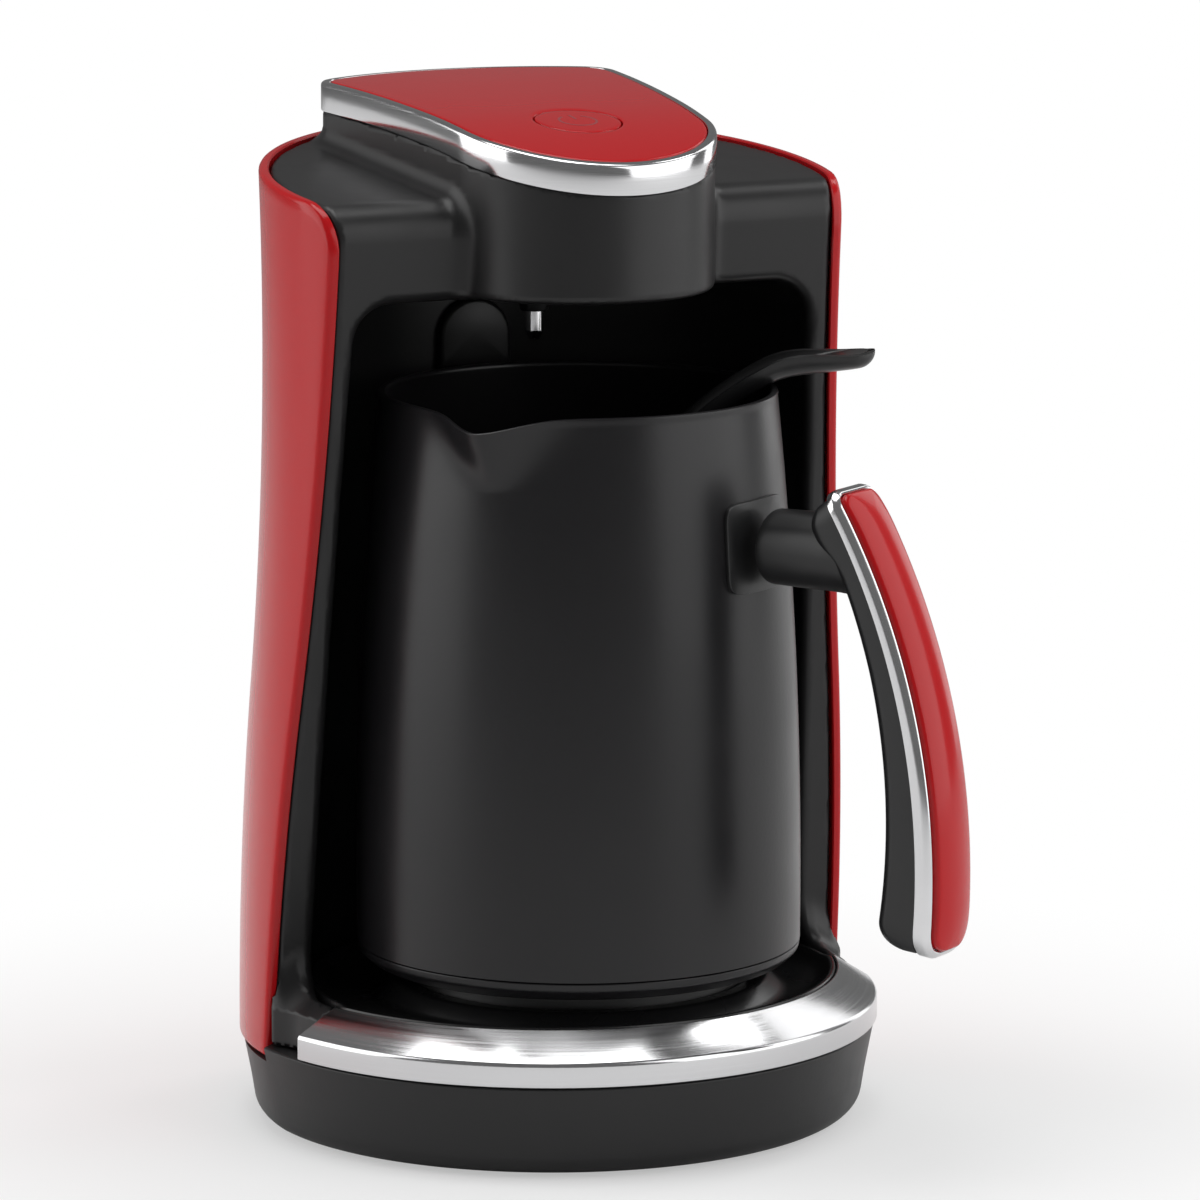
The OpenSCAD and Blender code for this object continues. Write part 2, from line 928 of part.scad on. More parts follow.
module pot_base() {
    color("#2e2d2f")
        translate([0, pot_y, 0])
            rotate_extrude() {
                edge = pot_seam_z - pot_foot_z;
                difference() {
                    translate([pot_r - edge - 0.2, pot_seam_z])
                        circle(r = edge);
                    translate([0, pot_seam_z])
                        square([80, 20]);
                    square([pot_r - edge - 0.2, 80]);
                }
                translate([0, pot_foot_z])
                    square([pot_r - edge - 0.19, edge]);
            }
}

module handle_mount() {
    color("#232324")
        pot_frame(handle_azimuth)
            difference() {
                intersection() {
                    difference() {
                        cylinder(r = pot_r + 0.9, h = 200);
                        pot_round(-0.05, 60, 200);
                    }
                    translate([30, 0, stem_z])
                        rotate([0, 90, 0])
                            linear_extrude(height = 30)
                                union() {
                                    square([13, 26], center = true);
                                    square([20, 19], center = true);
                                    for (a = [-1, 1], b = [-1, 1])
                                        translate([a * 6.5, b * 9.5])
                                            circle(r = 3.5);
                                }
                }
                translate([30, 0, stem_z])
                    rotate([0, 90, 0])
                        cylinder(r = 2.1, h = 30);
                // notch at the top edge
                translate([40, -3, stem_z + 7.2])
                    cube([20, 6, 5]);
            }
}

// a section carried round an arc in the upright plane of the handle or spoon
module arc_sweep(centre_x, centre_z, low, high) {
    translate([centre_x, 0, centre_z])
        rotate([90, 0, 0])
            rotate([0, 0, low])
                rotate_extrude(angle = high - low)
                    children();
}

// the same round the centre of the grip's outer face
module face_sweep(low, high) {
    arc_sweep(face_centre_x, face_centre_z, low, high)
        children();
}

// rounded section of the grip between two radii
module grip_section(in_r, out_r, width, in_round, out_round) {
    for (s = [-1, 1]) {
        translate([in_r + in_round, s * (width / 2 - in_round)])
            circle(r = in_round);
        translate([out_r - out_round, s * (width / 2 - out_round)])
            circle(r = out_round);
    }
    translate([in_r, -width / 2 + in_round])
        square([in_round, width - 2 * in_round]);
    translate([in_r + in_round, -width / 2])
        square([out_r - out_round - in_r - in_round, width]);
    translate([out_r - out_round, -width / 2 + out_round])
        square([out_round, width - 2 * out_round]);
}

module handle_body() {
    color("#232324")
        pot_frame(handle_azimuth)
            difference() {
                union() {
                    // grip, thin at its upper end and thick at its lower end
                    intersection() {
                        arc_sweep(grip_centre_x, grip_centre_z, -20, 45)
                            grip_section(grip_in_r, grip_in_r + 14, grip_w, 2.8, 0.4);
                        face_sweep(grip_low, grip_high)
                            translate([grip_face_r - 20, -20])
                                square([20, 40]);
                    }
                    // stem
                    difference() {
                        translate([48.8, 0, stem_z])
                            rotate([0, 90, 0])
                                cylinder(r1 = 8, r2 = 8.4, h = 24);
                        face_sweep(-30, 60)
                            translate([grip_face_r - 1, -20])
                                square([40, 40]);
                    }
                }
                translate([40, 0, stem_z])
                    rotate([0, 90, 0])
                        cylinder(r = 2, h = 22);
            }
}

module handle_trim() {
    color("#d5d6d8")
        pot_frame(handle_azimuth)
            difference() {
                face_sweep(grip_low - 0.5, grip_high + 0.5)
                    grip_section(grip_face_r + gap, grip_face_r + 3.8, grip_w + 0.6, 0.6, 1.2);
                face_sweep(grip_low + 0.6, grip_high - 0.6)
                    translate([grip_face_r + 1.8, -grip_w / 2 + 1.4])
                        square([5, grip_w - 2.8]);
            }
}

module handle_insert() {
    color("#a8262b")
        pot_frame(handle_azimuth)
            face_sweep(grip_low + 0.75, grip_high - 0.75)
                intersection() {
                    translate([grip_face_r + 6 - 22, 0])
                        circle(r = 22);
                    translate([grip_face_r + 2.1, -grip_w / 2 + 1.7])
                        square([8, grip_w - 3.4]);
                }
}

module handle_screw() {
    color("#b5b6b8")
        pot_frame(handle_azimuth)
            translate([pot_r - 0.6, 0, stem_z])
                rotate([0, 90, 0])
                    cylinder(r = 1.96, h = 14);
}

// ---------- spoon ----------

// section of the spoon's channel, open towards larger radii, between two insets
module spoon_section(inset, top) {
    half = spoon_w / 2 - inset;
    low = inset - spoon_h / 2;
    polygon([
        [low, 2.2 - half], [low + 1, 1.2 - half], [top, -half],
        [top, half], [low + 1, half - 1.2], [low, half - 2.2]
    ]);
}

// the spoon's plan at its outer end: straight sides and a round tip
module spoon_tip(inset) {
    linear_extrude(height = far) {
        translate([spoon_reach - spoon_w / 2, 0])
            circle(r = spoon_w / 2 - inset);
        translate([-far, inset - spoon_w / 2])
            square([far + spoon_reach - spoon_w / 2, spoon_w - 2 * inset]);
    }
}

module spoon() {
    wall = 1.1;
    centre_x = spoon_reach + spoon_bend_r * sin(spoon_tip_slope);
    rim_in = pot_wall_r(pot_rim_z) - pot_wall;
    under_r = spoon_bend_r - spoon_h / 2;
    centre_z = pot_rim_z + gap - sqrt(pow(under_r, 2) - pow(centre_x - rim_in, 2));
    bend_x = centre_x - spoon_bend_r * sin(spoon_dip);
    bend_z = centre_z + spoon_bend_r * cos(spoon_dip);
    straight = min((bend_x + pot_r - pot_wall - 2.5) / cos(spoon_dip), (bend_z - pot_seam_z - 14) / sin(spoon_dip));
    top = spoon_h / 2;
    color("#1d1d1e")
        pot_frame(spoon_azimuth) {
            // bend over the rim
            difference() {
                intersection() {
                    arc_sweep(centre_x, centre_z, 90, 90 + spoon_dip)
                        translate([spoon_bend_r, 0])
                            spoon_section(0, top);
                    spoon_tip(0);
                }
                intersection() {
                    arc_sweep(centre_x, centre_z, 80, 92 + spoon_dip)
                        translate([spoon_bend_r, 0])
                            spoon_section(wall, top + 1);
                    spoon_tip(wall + 0.3);
                }
            }
            // straight part and bowl
            translate([bend_x, 0, bend_z])
                rotate([0, -spoon_dip, 0])
                    difference() {
                        union() {
                            translate([-straight + bowl_r, 0, 0])
                                rotate([90, 0, 90])
                                    linear_extrude(height = straight - bowl_r)
                                        rotate(90)
                                            spoon_section(0, top);
                            translate([-straight + bowl_r, 0, top])
                                sphere(r = bowl_r);
                        }
                        translate([-straight + bowl_r - 1, 0, 0])
                            rotate([90, 0, 90])
                                linear_extrude(height = straight - bowl_r + 2)
                                    rotate(90)
                                        spoon_section(wall, top + 1);
                        translate([-straight + bowl_r, 0, top])
                            sphere(r = bowl_r - 1.2);
                        translate([-straight - 5, -20, top])
                            cube([straight + 3, 40, 20]);
                    }
        }
}

base_tub();
foot_ring();
trim_ring();
pot_deck();
heater_plate();
heating_element();
heater_clamp();
clamp_screws();
base_thermostat();
power_board();
power_relay();
base_screws();
cord_gland();
inner_housing();
outer_shell();
head_band();
top_plate();
power_button();
switch_board();
tact_switch();
status_led();
control_board();
board_screws();
sensor_probe();
probe_collar();
vent_hood();
pot_body();
pot_base();
handle_mount();
handle_body();
handle_trim();
handle_insert();
handle_screw();
spoon();
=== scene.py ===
import math

import bmesh
import bpy
import numpy as np
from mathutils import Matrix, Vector


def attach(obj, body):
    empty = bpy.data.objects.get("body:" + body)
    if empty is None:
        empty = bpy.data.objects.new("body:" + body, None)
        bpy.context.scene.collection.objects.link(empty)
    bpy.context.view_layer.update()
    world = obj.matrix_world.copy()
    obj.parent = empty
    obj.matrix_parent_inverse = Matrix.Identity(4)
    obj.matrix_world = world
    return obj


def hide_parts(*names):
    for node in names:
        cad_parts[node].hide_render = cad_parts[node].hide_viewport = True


# Looks of an electric Turkish coffee maker: round base, C-shaped tower, forward head, lift-off pot, spoon.
# Shapes are worked out in millimetres and scaled to metres when a mesh is made. The front is towards -y, and
# a turn about an upright axis starts there.

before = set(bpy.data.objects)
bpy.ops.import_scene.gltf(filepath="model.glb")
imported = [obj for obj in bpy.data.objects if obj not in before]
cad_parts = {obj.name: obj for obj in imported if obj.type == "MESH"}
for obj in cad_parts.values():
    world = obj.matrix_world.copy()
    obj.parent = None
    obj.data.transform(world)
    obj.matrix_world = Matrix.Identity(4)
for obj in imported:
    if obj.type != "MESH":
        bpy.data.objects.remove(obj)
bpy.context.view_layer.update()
print("frame loaded,", len(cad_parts), "nodes")


def smoothStep(x):
    # 3x^2 - 2x^3 between 0 and 1
    x = np.clip(x, 0, 1)
    return x * x * (3 - 2 * x)


def roundUnion(a, b, radius):
    # distance to two joined solids, with a quarter-circle fillet of the radius where they meet
    fillet = np.hypot(np.maximum(radius - a, 0), np.maximum(radius - b, 0))
    return np.maximum(radius, np.minimum(a, b)) - fillet


def roundCut(a, b, radius):
    # distance to the overlap of two solids, with its edge rounded by the radius
    edge = np.hypot(np.maximum(radius + a, 0), np.maximum(radius + b, 0))
    return np.minimum(-radius, np.maximum(a, b)) + edge


def roundCorners(points, radii, steps=6):
    # an open outline whose inner corners become arcs: each arc is tangent to the two sides that meet there
    points = np.asarray(points, float)
    out = [points[0]]
    for i in range(1, len(points) - 1):
        p, radius = points[i], radii[i - 1]
        a, b = points[i - 1] - p, points[i + 1] - p
        la, lb = np.linalg.norm(a), np.linalg.norm(b)
        a, b = a / la, b / lb
        turn = math.acos(float(np.clip(a @ b, -1, 1)))
        if radius <= 0 or turn > math.pi - 0.02:
            out.append(p)
            continue
        cut = min(radius / math.tan(turn / 2), 0.49 * la, 0.49 * lb)
        radius = cut * math.tan(turn / 2)
        middle = p + (a + b) / np.linalg.norm(a + b) * radius / math.sin(turn / 2)
        start = p + a * cut - middle
        side = p + b * cut - middle
        sweep = math.pi - turn
        side = side - start * (side @ start) / (start @ start)
        side = side / np.linalg.norm(side) * radius
        t = np.linspace(0, sweep, steps + 1)[:, None]
        out.extend(middle + start * np.cos(t) + side * np.sin(t))
    out.append(points[-1])
    return np.array(out)


def gridFaces(rows, cols, closeRows=False, closeCols=False):
    # quads between the neighbours of a rows x cols grid, which may close on itself either way
    r = np.arange(rows if closeRows else rows - 1)
    c = np.arange(cols if closeCols else cols - 1)
    r, c = np.meshgrid(r, c, indexing="ij")
    r, c = r.ravel(), c.ravel()
    r2, c2 = (r + 1) % rows, (c + 1) % cols
    return np.stack([r * cols + c, r * cols + c2, r2 * cols + c2, r2 * cols + c], 1)


def makePiece(name, body, material, parts, sharp=35, cad=(), normals=None):
    # one mesh from a list of (points in mm, faces); without normals of its own, its equal points are merged
    # and its faces turned outwards
    points, faces, start = [], [], 0
    for p, f in parts:
        p = np.asarray(p, float).reshape(-1, 3)
        points.append(p)
        faces.extend((np.asarray(q) + start).tolist() for q in f)
        start += len(p)
    mesh = bpy.data.meshes.new(name)
    mesh.from_pydata((np.concatenate(points) * 0.001).tolist(), [], faces)
    if normals is None:
        bm = bmesh.new()
        bm.from_mesh(mesh)
        bmesh.ops.remove_doubles(bm, verts=bm.verts, dist=2e-6)
        bmesh.ops.dissolve_degenerate(bm, dist=1e-7, edges=bm.edges)
        bmesh.ops.recalc_face_normals(bm, faces=bm.faces)
        bm.to_mesh(mesh)
        bm.free()
    mesh.polygons.foreach_set("use_smooth", np.ones(len(mesh.polygons), bool))
    if normals is None:
        mesh.set_sharp_from_angle(angle=math.radians(sharp))
    else:
        mesh.normals_split_custom_set_from_vertices(normals.tolist())
    mesh.materials.append(material)
    piece = bpy.data.objects.new(name, mesh)
    bpy.context.scene.collection.objects.link(piece)
    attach(piece, body)
    if cad:
        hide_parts(*cad)
    print("made", name, len(mesh.polygons), "faces")
    return piece


def loftLoops(loops, closeAlong=False):
    # closed loops of equally many points joined one after another; end loops that aren't joined get a cap
    loops = np.asarray(loops, float)
    n, m = loops.shape[:2]
    faces = gridFaces(n, m, closeAlong, True).tolist()
    if not closeAlong:
        faces.append(np.arange(m)[::-1].tolist())
        faces.append((np.arange(m) + (n - 1) * m).tolist())
    return loops.reshape(-1, 3), faces


def lathe(profile, centreY=0.0, steps=128):
    # a profile of (radius, height) turned round the upright axis through y = centreY
    profile = np.asarray(profile, float)
    a = np.linspace(0, 2 * np.pi, steps, endpoint=False)
    r, z = profile[:, 0][:, None], profile[:, 1][:, None]
    x = r * np.sin(a)
    y = centreY - r * np.cos(a)
    loops = np.stack([x, y, np.broadcast_to(z, x.shape)], -1)
    return loops.reshape(-1, 3), gridFaces(len(profile), steps, False, True).tolist()


def coons(bottom, top, left, right):
    # a patch between four edges: the two blends of opposite edges, less the blend of the four corners
    u = np.linspace(0, 1, len(bottom))[None, :, None]
    v = np.linspace(0, 1, len(left))[:, None, None]
    across = (1 - u) * left[:, None] + u * right[:, None]
    along = (1 - v) * bottom[None] + v * top[None]
    corners = ((1 - u) * (1 - v) * bottom[0] + u * (1 - v) * bottom[-1]
               + (1 - u) * v * top[0] + u * v * top[-1])
    return across + along - corners


def resample(path, count):
    # points along a path at equal steps of its length
    path = np.asarray(path, float)
    length = np.concatenate([[0], np.cumsum(np.linalg.norm(np.diff(path, axis=0), axis=1))])
    t = np.linspace(0, length[-1], count)
    return np.stack([np.interp(t, length, path[:, i]) for i in range(path.shape[1])], 1)


def groupBrushed():
    # fine lines: noise stretched by the given scale, put out as a height and a roughness offset
    group = bpy.data.node_groups.new("brushed lines", "ShaderNodeTree")
    group.interface.new_socket("Position", in_out="INPUT", socket_type="NodeSocketVector")
    group.interface.new_socket("Stretch", in_out="INPUT", socket_type="NodeSocketVector")
    group.interface.new_socket("Depth", in_out="INPUT", socket_type="NodeSocketFloat")
    group.interface.new_socket("Height", in_out="OUTPUT", socket_type="NodeSocketFloat")
    group.interface.new_socket("Shade", in_out="OUTPUT", socket_type="NodeSocketFloat")
    n, l = group.nodes, group.links
    start, end = n.new("NodeGroupInput"), n.new("NodeGroupOutput")
    scale = n.new("ShaderNodeVectorMath")
    scale.operation = "MULTIPLY"
    noise = n.new("ShaderNodeTexNoise")
    noise.inputs["Scale"].default_value = 1.0
    noise.inputs["Detail"].default_value = 3.0
    depth = n.new("ShaderNodeMath")
    depth.operation = "MULTIPLY"
    l.new(start.outputs["Position"], scale.inputs[0])
    l.new(start.outputs["Stretch"], scale.inputs[1])
    l.new(scale.outputs[0], noise.inputs["Vector"])
    l.new(noise.outputs["Fac"], depth.inputs[0])
    l.new(start.outputs["Depth"], depth.inputs[1])
    l.new(depth.outputs[0], end.inputs["Height"])
    l.new(noise.outputs["Fac"], end.inputs["Shade"])
    return group


def groupFineGrain():
    # the small unevenness of moulded plastic and coated metal: two scales of noise, as a height and a mask
    group = bpy.data.node_groups.new("fine grain", "ShaderNodeTree")
    group.interface.new_socket("Position", in_out="INPUT", socket_type="NodeSocketVector")
    group.interface.new_socket("Scale", in_out="INPUT", socket_type="NodeSocketFloat")
    group.interface.new_socket("Depth", in_out="INPUT", socket_type="NodeSocketFloat")
    group.interface.new_socket("Height", in_out="OUTPUT", socket_type="NodeSocketFloat")
    group.interface.new_socket("Mask", in_out="OUTPUT", socket_type="NodeSocketFloat")
    n, l = group.nodes, group.links
    start, end = n.new("NodeGroupInput"), n.new("NodeGroupOutput")
    fine = n.new("ShaderNodeTexNoise")
    fine.inputs["Detail"].default_value = 2.0
    broad = n.new("ShaderNodeTexNoise")
    broad.inputs["Scale"].default_value = 45.0
    broad.inputs["Detail"].default_value = 3.0
    depth = n.new("ShaderNodeMath")
    depth.operation = "MULTIPLY"
    l.new(start.outputs["Position"], fine.inputs["Vector"])
    l.new(start.outputs["Position"], broad.inputs["Vector"])
    l.new(start.outputs["Scale"], fine.inputs["Scale"])
    l.new(fine.outputs["Fac"], depth.inputs[0])
    l.new(start.outputs["Depth"], depth.inputs[1])
    l.new(depth.outputs[0], end.inputs["Height"])
    l.new(broad.outputs["Fac"], end.inputs["Mask"])
    return group


brushedLines = groupBrushed()
fineGrain = groupFineGrain()


def newMaterial(name, colour, roughness, metallic=0.0, coat=0.0, coatRoughness=0.05, specular=0.5):
    # a Principled material with its plain values; returns the material, its tree and the shader
    material = bpy.data.materials.new(name)
    material.use_nodes = True
    shader = material.node_tree.nodes["Principled BSDF"]
    shader.inputs["Base Color"].default_value = (*colour, 1)
    shader.inputs["Roughness"].default_value = roughness
    shader.inputs["Metallic"].default_value = metallic
    shader.inputs["Coat Weight"].default_value = coat
    shader.inputs["Coat Roughness"].default_value = coatRoughness
    shader.inputs["Specular IOR Level"].default_value = specular
    return material, material.node_tree, shader


def grainyMaterial(name, colour, roughness, spread=0.06, scale=900.0, depth=1.0, distance=0.00004, **more):
    # plastic or coating: fine grain in the bump, and a roughness that wanders a little
    material, tree, shader = newMaterial(name, colour, roughness, **more)
    n, l = tree.nodes, tree.links
    place = n.new("ShaderNodeTexCoord")
    grain = n.new("ShaderNodeGroup")
    grain.node_tree = fineGrain
    grain.inputs["Scale"].default_value = scale
    grain.inputs["Depth"].default_value = depth
    bump = n.new("ShaderNodeBump")
    bump.inputs["Distance"].default_value = distance
    bump.inputs["Strength"].default_value = 0.35
    spreadMap = n.new("ShaderNodeMapRange")
    spreadMap.inputs["From Min"].default_value = 0.3
    spreadMap.inputs["From Max"].default_value = 0.7
    spreadMap.inputs["To Min"].default_value = roughness - spread
    spreadMap.inputs["To Max"].default_value = roughness + spread
    l.new(place.outputs["Object"], grain.inputs["Position"])
    l.new(grain.outputs["Height"], bump.inputs["Height"])
    l.new(bump.outputs["Normal"], shader.inputs["Normal"])
    l.new(grain.outputs["Mask"], spreadMap.inputs["Value"])
    l.new(spreadMap.outputs["Result"], shader.inputs["Roughness"])
    return material


def brushedMaterial(name, colour, roughness, stretch, depth=1.0, distance=0.00003, spread=0.08):
    # brushed metal: stretched lines in the bump, the roughness and faintly in the colour
    material, tree, shader = newMaterial(name, colour, roughness, metallic=1.0)
    n, l = tree.nodes, tree.links
    place = n.new("ShaderNodeTexCoord")
    lines = n.new("ShaderNodeGroup")
    lines.node_tree = brushedLines
    lines.inputs["Stretch"].default_value = stretch
    lines.inputs["Depth"].default_value = depth
    bump = n.new("ShaderNodeBump")
    bump.inputs["Distance"].default_value = distance
    bump.inputs["Strength"].default_value = 0.4
    spreadMap = n.new("ShaderNodeMapRange")
    spreadMap.inputs["From Min"].default_value = 0.3
    spreadMap.inputs["From Max"].default_value = 0.7
    spreadMap.inputs["To Min"].default_value = max(roughness - spread, 0.02)
    spreadMap.inputs["To Max"].default_value = roughness + spread
    tint = n.new("ShaderNodeMixRGB")
    tint.inputs["Color1"].default_value = (*(0.86 * c for c in colour), 1)
    tint.inputs["Color2"].default_value = (*colour, 1)
    l.new(place.outputs["Object"], lines.inputs["Position"])
    l.new(lines.outputs["Height"], bump.inputs["Height"])
    l.new(bump.outputs["Normal"], shader.inputs["Normal"])
    l.new(lines.outputs["Shade"], spreadMap.inputs["Value"])
    l.new(spreadMap.outputs["Result"], shader.inputs["Roughness"])
    l.new(lines.outputs["Shade"], tint.inputs["Fac"])
    l.new(tint.outputs["Color"], shader.inputs["Base Color"])
    return material


blackSatin = grainyMaterial("black satin plastic", (0.0105, 0.0102, 0.0106), 0.38, specular=0.42)
darkSatin = grainyMaterial("black handle plastic", (0.010, 0.010, 0.0105), 0.34)
recessBlack = grainyMaterial("black deck plastic", (0.008, 0.008, 0.0085), 0.28)
rubberBlack = grainyMaterial("black rubber", (0.012, 0.012, 0.012), 0.75)
redGloss = grainyMaterial("red gloss plastic", (0.46, 0.0065, 0.0092), 0.2, spread=0.02, scale=250.0,
                          distance=0.00001, coat=0.18, coatRoughness=0.04, specular=0.2)
potCoating = grainyMaterial("black pot coating", (0.0085, 0.008, 0.009), 0.31, spread=0.03, specular=0.4)
levelLines = (18.0, 18.0, 5200.0)    # lines that run level, packed closely upwards
brushedSteel = brushedMaterial("brushed steel", (0.76, 0.76, 0.77), 0.13, levelLines,
                               distance=0.000012, spread=0.04)
ringSteel = brushedMaterial("brushed ring", (0.74, 0.74, 0.75), 0.17, levelLines,
                            distance=0.000012, spread=0.05)
polishedChrome = brushedMaterial("bright trim", (0.80, 0.80, 0.81), 0.14, (60.0, 60.0, 60.0), spread=0.03)
zincSteel = brushedMaterial("zinc plated steel", (0.60, 0.60, 0.60), 0.3, (700.0, 700.0, 90.0))
heaterMetal = brushedMaterial("cast heater metal", (0.34, 0.34, 0.35), 0.42, (300.0, 300.0, 300.0),
                              spread=0.1)
heaterCoat = grainyMaterial("dark heater coating", (0.010, 0.010, 0.010), 0.45)
boardGreen = grainyMaterial("circuit board", (0.02, 0.11, 0.035), 0.4)
relayBlue = grainyMaterial("relay case", (0.02, 0.05, 0.11), 0.35)
ceramicCream = grainyMaterial("ceramic thermostat", (0.55, 0.50, 0.38), 0.6)
clearLamp = grainyMaterial("lamp lens", (0.75, 0.73, 0.66), 0.15)
symbolGrey = grainyMaterial("symbol line", (0.30, 0.045, 0.05), 0.3)

cadMaterials = {
    "foot_ring": rubberBlack, "heating_element": heaterMetal, "heater_clamp": zincSteel,
    "clamp_screws": zincSteel, "base_thermostat": ceramicCream, "power_board": boardGreen,
    "power_relay": relayBlue, "base_screws": zincSteel, "cord_gland": rubberBlack,
    "switch_board": boardGreen, "tact_switch": darkSatin, "status_led": clearLamp,
    "control_board": boardGreen, "board_screws": zincSteel, "handle_screw": zincSteel,
}
for nodeName, material in cadMaterials.items():
    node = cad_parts[nodeName]
    node.data.materials.clear()
    node.data.materials.append(material)
print("materials made")


# outer radius at foot and waist, and the leaning front corner, shared by the shell and the housing
tower = {"footR": 68.3, "footZ": 17.5, "waistR": 62.2, "waistZ": 172.0,
         "lean": 5.9, "cornerY": -19.6, "cornerZ": 201.0}

leanCos, leanSin = math.cos(math.radians(tower["lean"])), math.sin(math.radians(tower["lean"]))


def towerR(z):
    # outer radius of the tower: two tangent arcs, bulging at the foot and hollow at the waist
    half = (tower["waistZ"] - tower["footZ"]) / 2
    step = (tower["footR"] - tower["waistR"]) / 2
    big = (half ** 2 + step ** 2) / (2 * step)
    low = tower["footR"] - big + np.sqrt(big ** 2 - (z - tower["footZ"]) ** 2)
    high = tower["waistR"] + big - np.sqrt(big ** 2 - (z - tower["waistZ"]) ** 2)
    return np.where(z < tower["footZ"] + half, low, high)


def leanPoint(u, v):
    # side view point (y, z) from distances along the top (u, rearwards) and down the front (v, negative):
    # both are turned by the lean about the front corner
    return np.stack([tower["cornerY"] + leanCos * u - leanSin * v,
                     tower["cornerZ"] + leanSin * u + leanCos * v], -1)


shell = {"round": 10.0, "wall": 2.2, "bevel": 1.1, "bevelDepth": 0.9, "innerGap": 0.3, "rearReach": 82.0,
         "frontWeight": 40.0, "topWeight": 60.0, "rearLift": 0.02}


def shellEdgePath(inset):
    # side view of the shell's front edge up to the middle of its rounded corner, and the rest of the corner,
    # both moved inwards by inset: straight lines and arcs about the corner's centre
    radius = shell["round"] - inset
    centreU, centreV = shell["round"], -shell["round"]
    a = np.linspace(math.pi, 0.75 * math.pi, 12)
    firstArc = leanPoint(centreU + radius * np.cos(a), centreV + radius * np.sin(a))
    a = np.linspace(0.75 * math.pi, 0.5 * math.pi, 12)
    lastArc = leanPoint(centreU + radius * np.cos(a), centreV + radius * np.sin(a))
    down = (tower["footZ"] + inset - tower["cornerZ"] - leanSin * inset) / leanCos
    front = np.concatenate([leanPoint(np.full(2, inset), np.array([down, centreV])), firstArc])
    return front, lastArc


def shellSheet(inset, depth, across=72, upwards=90):
    # the shell's skin as a patch over turn and height, at the radius towerR less depth. Its four edges are
    # the foot, the leaning front, the leaning top and the middle of the rear, and its other half is mirrored.
    # Inset moves the free edges inwards
    front, arc = shellEdgePath(inset)

    def turnOf(path):
        # turn about the axis at which the skin meets a side view point: arc cosine of -y / radius
        r = towerR(path[:, 1]) - depth
        return np.stack([np.arccos(np.clip(-path[:, 0] / r, -1, 1)), path[:, 1]], 1)

    topLine = leanPoint(np.linspace(shell["round"], shell["rearReach"], 400), np.full(400, -inset))
    over = topLine[:, 0] - (towerR(topLine[:, 1]) - depth)
    stop = topLine[:1] if over[0] > 0 else topLine[over < 0]
    topPath = turnOf(np.concatenate([arc, stop[1:]]))
    topPath = np.concatenate([topPath, [[math.pi, topPath[-1, 1] + shell["rearLift"]]]])
    frontPath = turnOf(resample(front, 200))
    frontScale, topScale = [shell["frontWeight"], 1], [shell["topWeight"], 1]
    left = resample(frontPath * frontScale, upwards) / frontScale
    upper = resample(topPath * topScale, across) / topScale
    foot = tower["footZ"] + inset
    lower = np.stack([np.linspace(left[0, 0], math.pi, across), np.full(across, foot)], 1)
    right = np.stack([np.full(upwards, math.pi), np.linspace(foot, upper[-1, 1], upwards)], 1)
    patch = coons(lower, upper, left, right)
    turn, z = patch[..., 0], patch[..., 1]
    turn = np.concatenate([turn, 2 * math.pi - turn[:, -2::-1]], 1)
    z = np.concatenate([z, z[:, -2::-1]], 1)
    r = towerR(z) - depth
    return np.stack([-r * np.sin(turn), -r * np.cos(turn), z], -1)


def sheetRim(sheet):
    # the closed loop of points round a sheet's edge
    return np.concatenate([sheet[0, :-1], sheet[:-1, -1], sheet[-1, :0:-1], sheet[:0:-1, 0]])


# the edge between the two skins is a quarter of an ellipse outside and a small bevel inside
outerSkin = shellSheet(shell["bevel"], 0.0)
innerSkin = shellSheet(shell["innerGap"], shell["wall"])
rims = [sheetRim(outerSkin)]
for a in np.linspace(0, math.pi / 2, 5)[1:]:
    edgeInset = shell["bevel"] * (1 - math.sin(a))
    edgeDepth = shell["bevel"] * (1 - math.cos(a)) * shell["bevelDepth"]
    rims.append(sheetRim(shellSheet(edgeInset, edgeDepth)))
rims.append(sheetRim(shellSheet(0.0, shell["wall"] - shell["innerGap"])))
rims.append(sheetRim(innerSkin))
rims = np.array(rims)
rows, cols = outerSkin.shape[:2]
shellParts = [(outerSkin, gridFaces(rows, cols)), (innerSkin, gridFaces(rows, cols)),
              (rims, gridFaces(len(rims), rims.shape[1], False, True))]
makePiece("redShell", "machine", redGloss, shellParts, 28, ["outer_shell"])


# plan outline of the head and the arcs of its crowned top, shared by housing, band, plate and button
head = {"noseR": 29.2, "noseY": -12.8, "cornerR": 9.0, "cornerTurn": 30.5, "rearR": 59.3,
        "topZ": 219.9, "rearCrown": 622.0, "frontCrown": 240.0, "crownY": 58.0}

cornerTurn = math.radians(head["cornerTurn"])
cornerX = (head["rearR"] - head["cornerR"]) * math.sin(cornerTurn)
cornerY = (head["rearR"] - head["cornerR"]) * math.cos(cornerTurn)
headRun = np.array([cornerX, cornerY - head["noseY"]])
headLean = math.acos((head["noseR"] - head["cornerR"]) / np.linalg.norm(headRun))
headTurn = math.atan2(headRun[1], headRun[0]) - headLean
sideNormal = np.array([math.cos(headTurn), math.sin(headTurn)])
sideAlong = np.array([-math.sin(headTurn), math.cos(headTurn)])


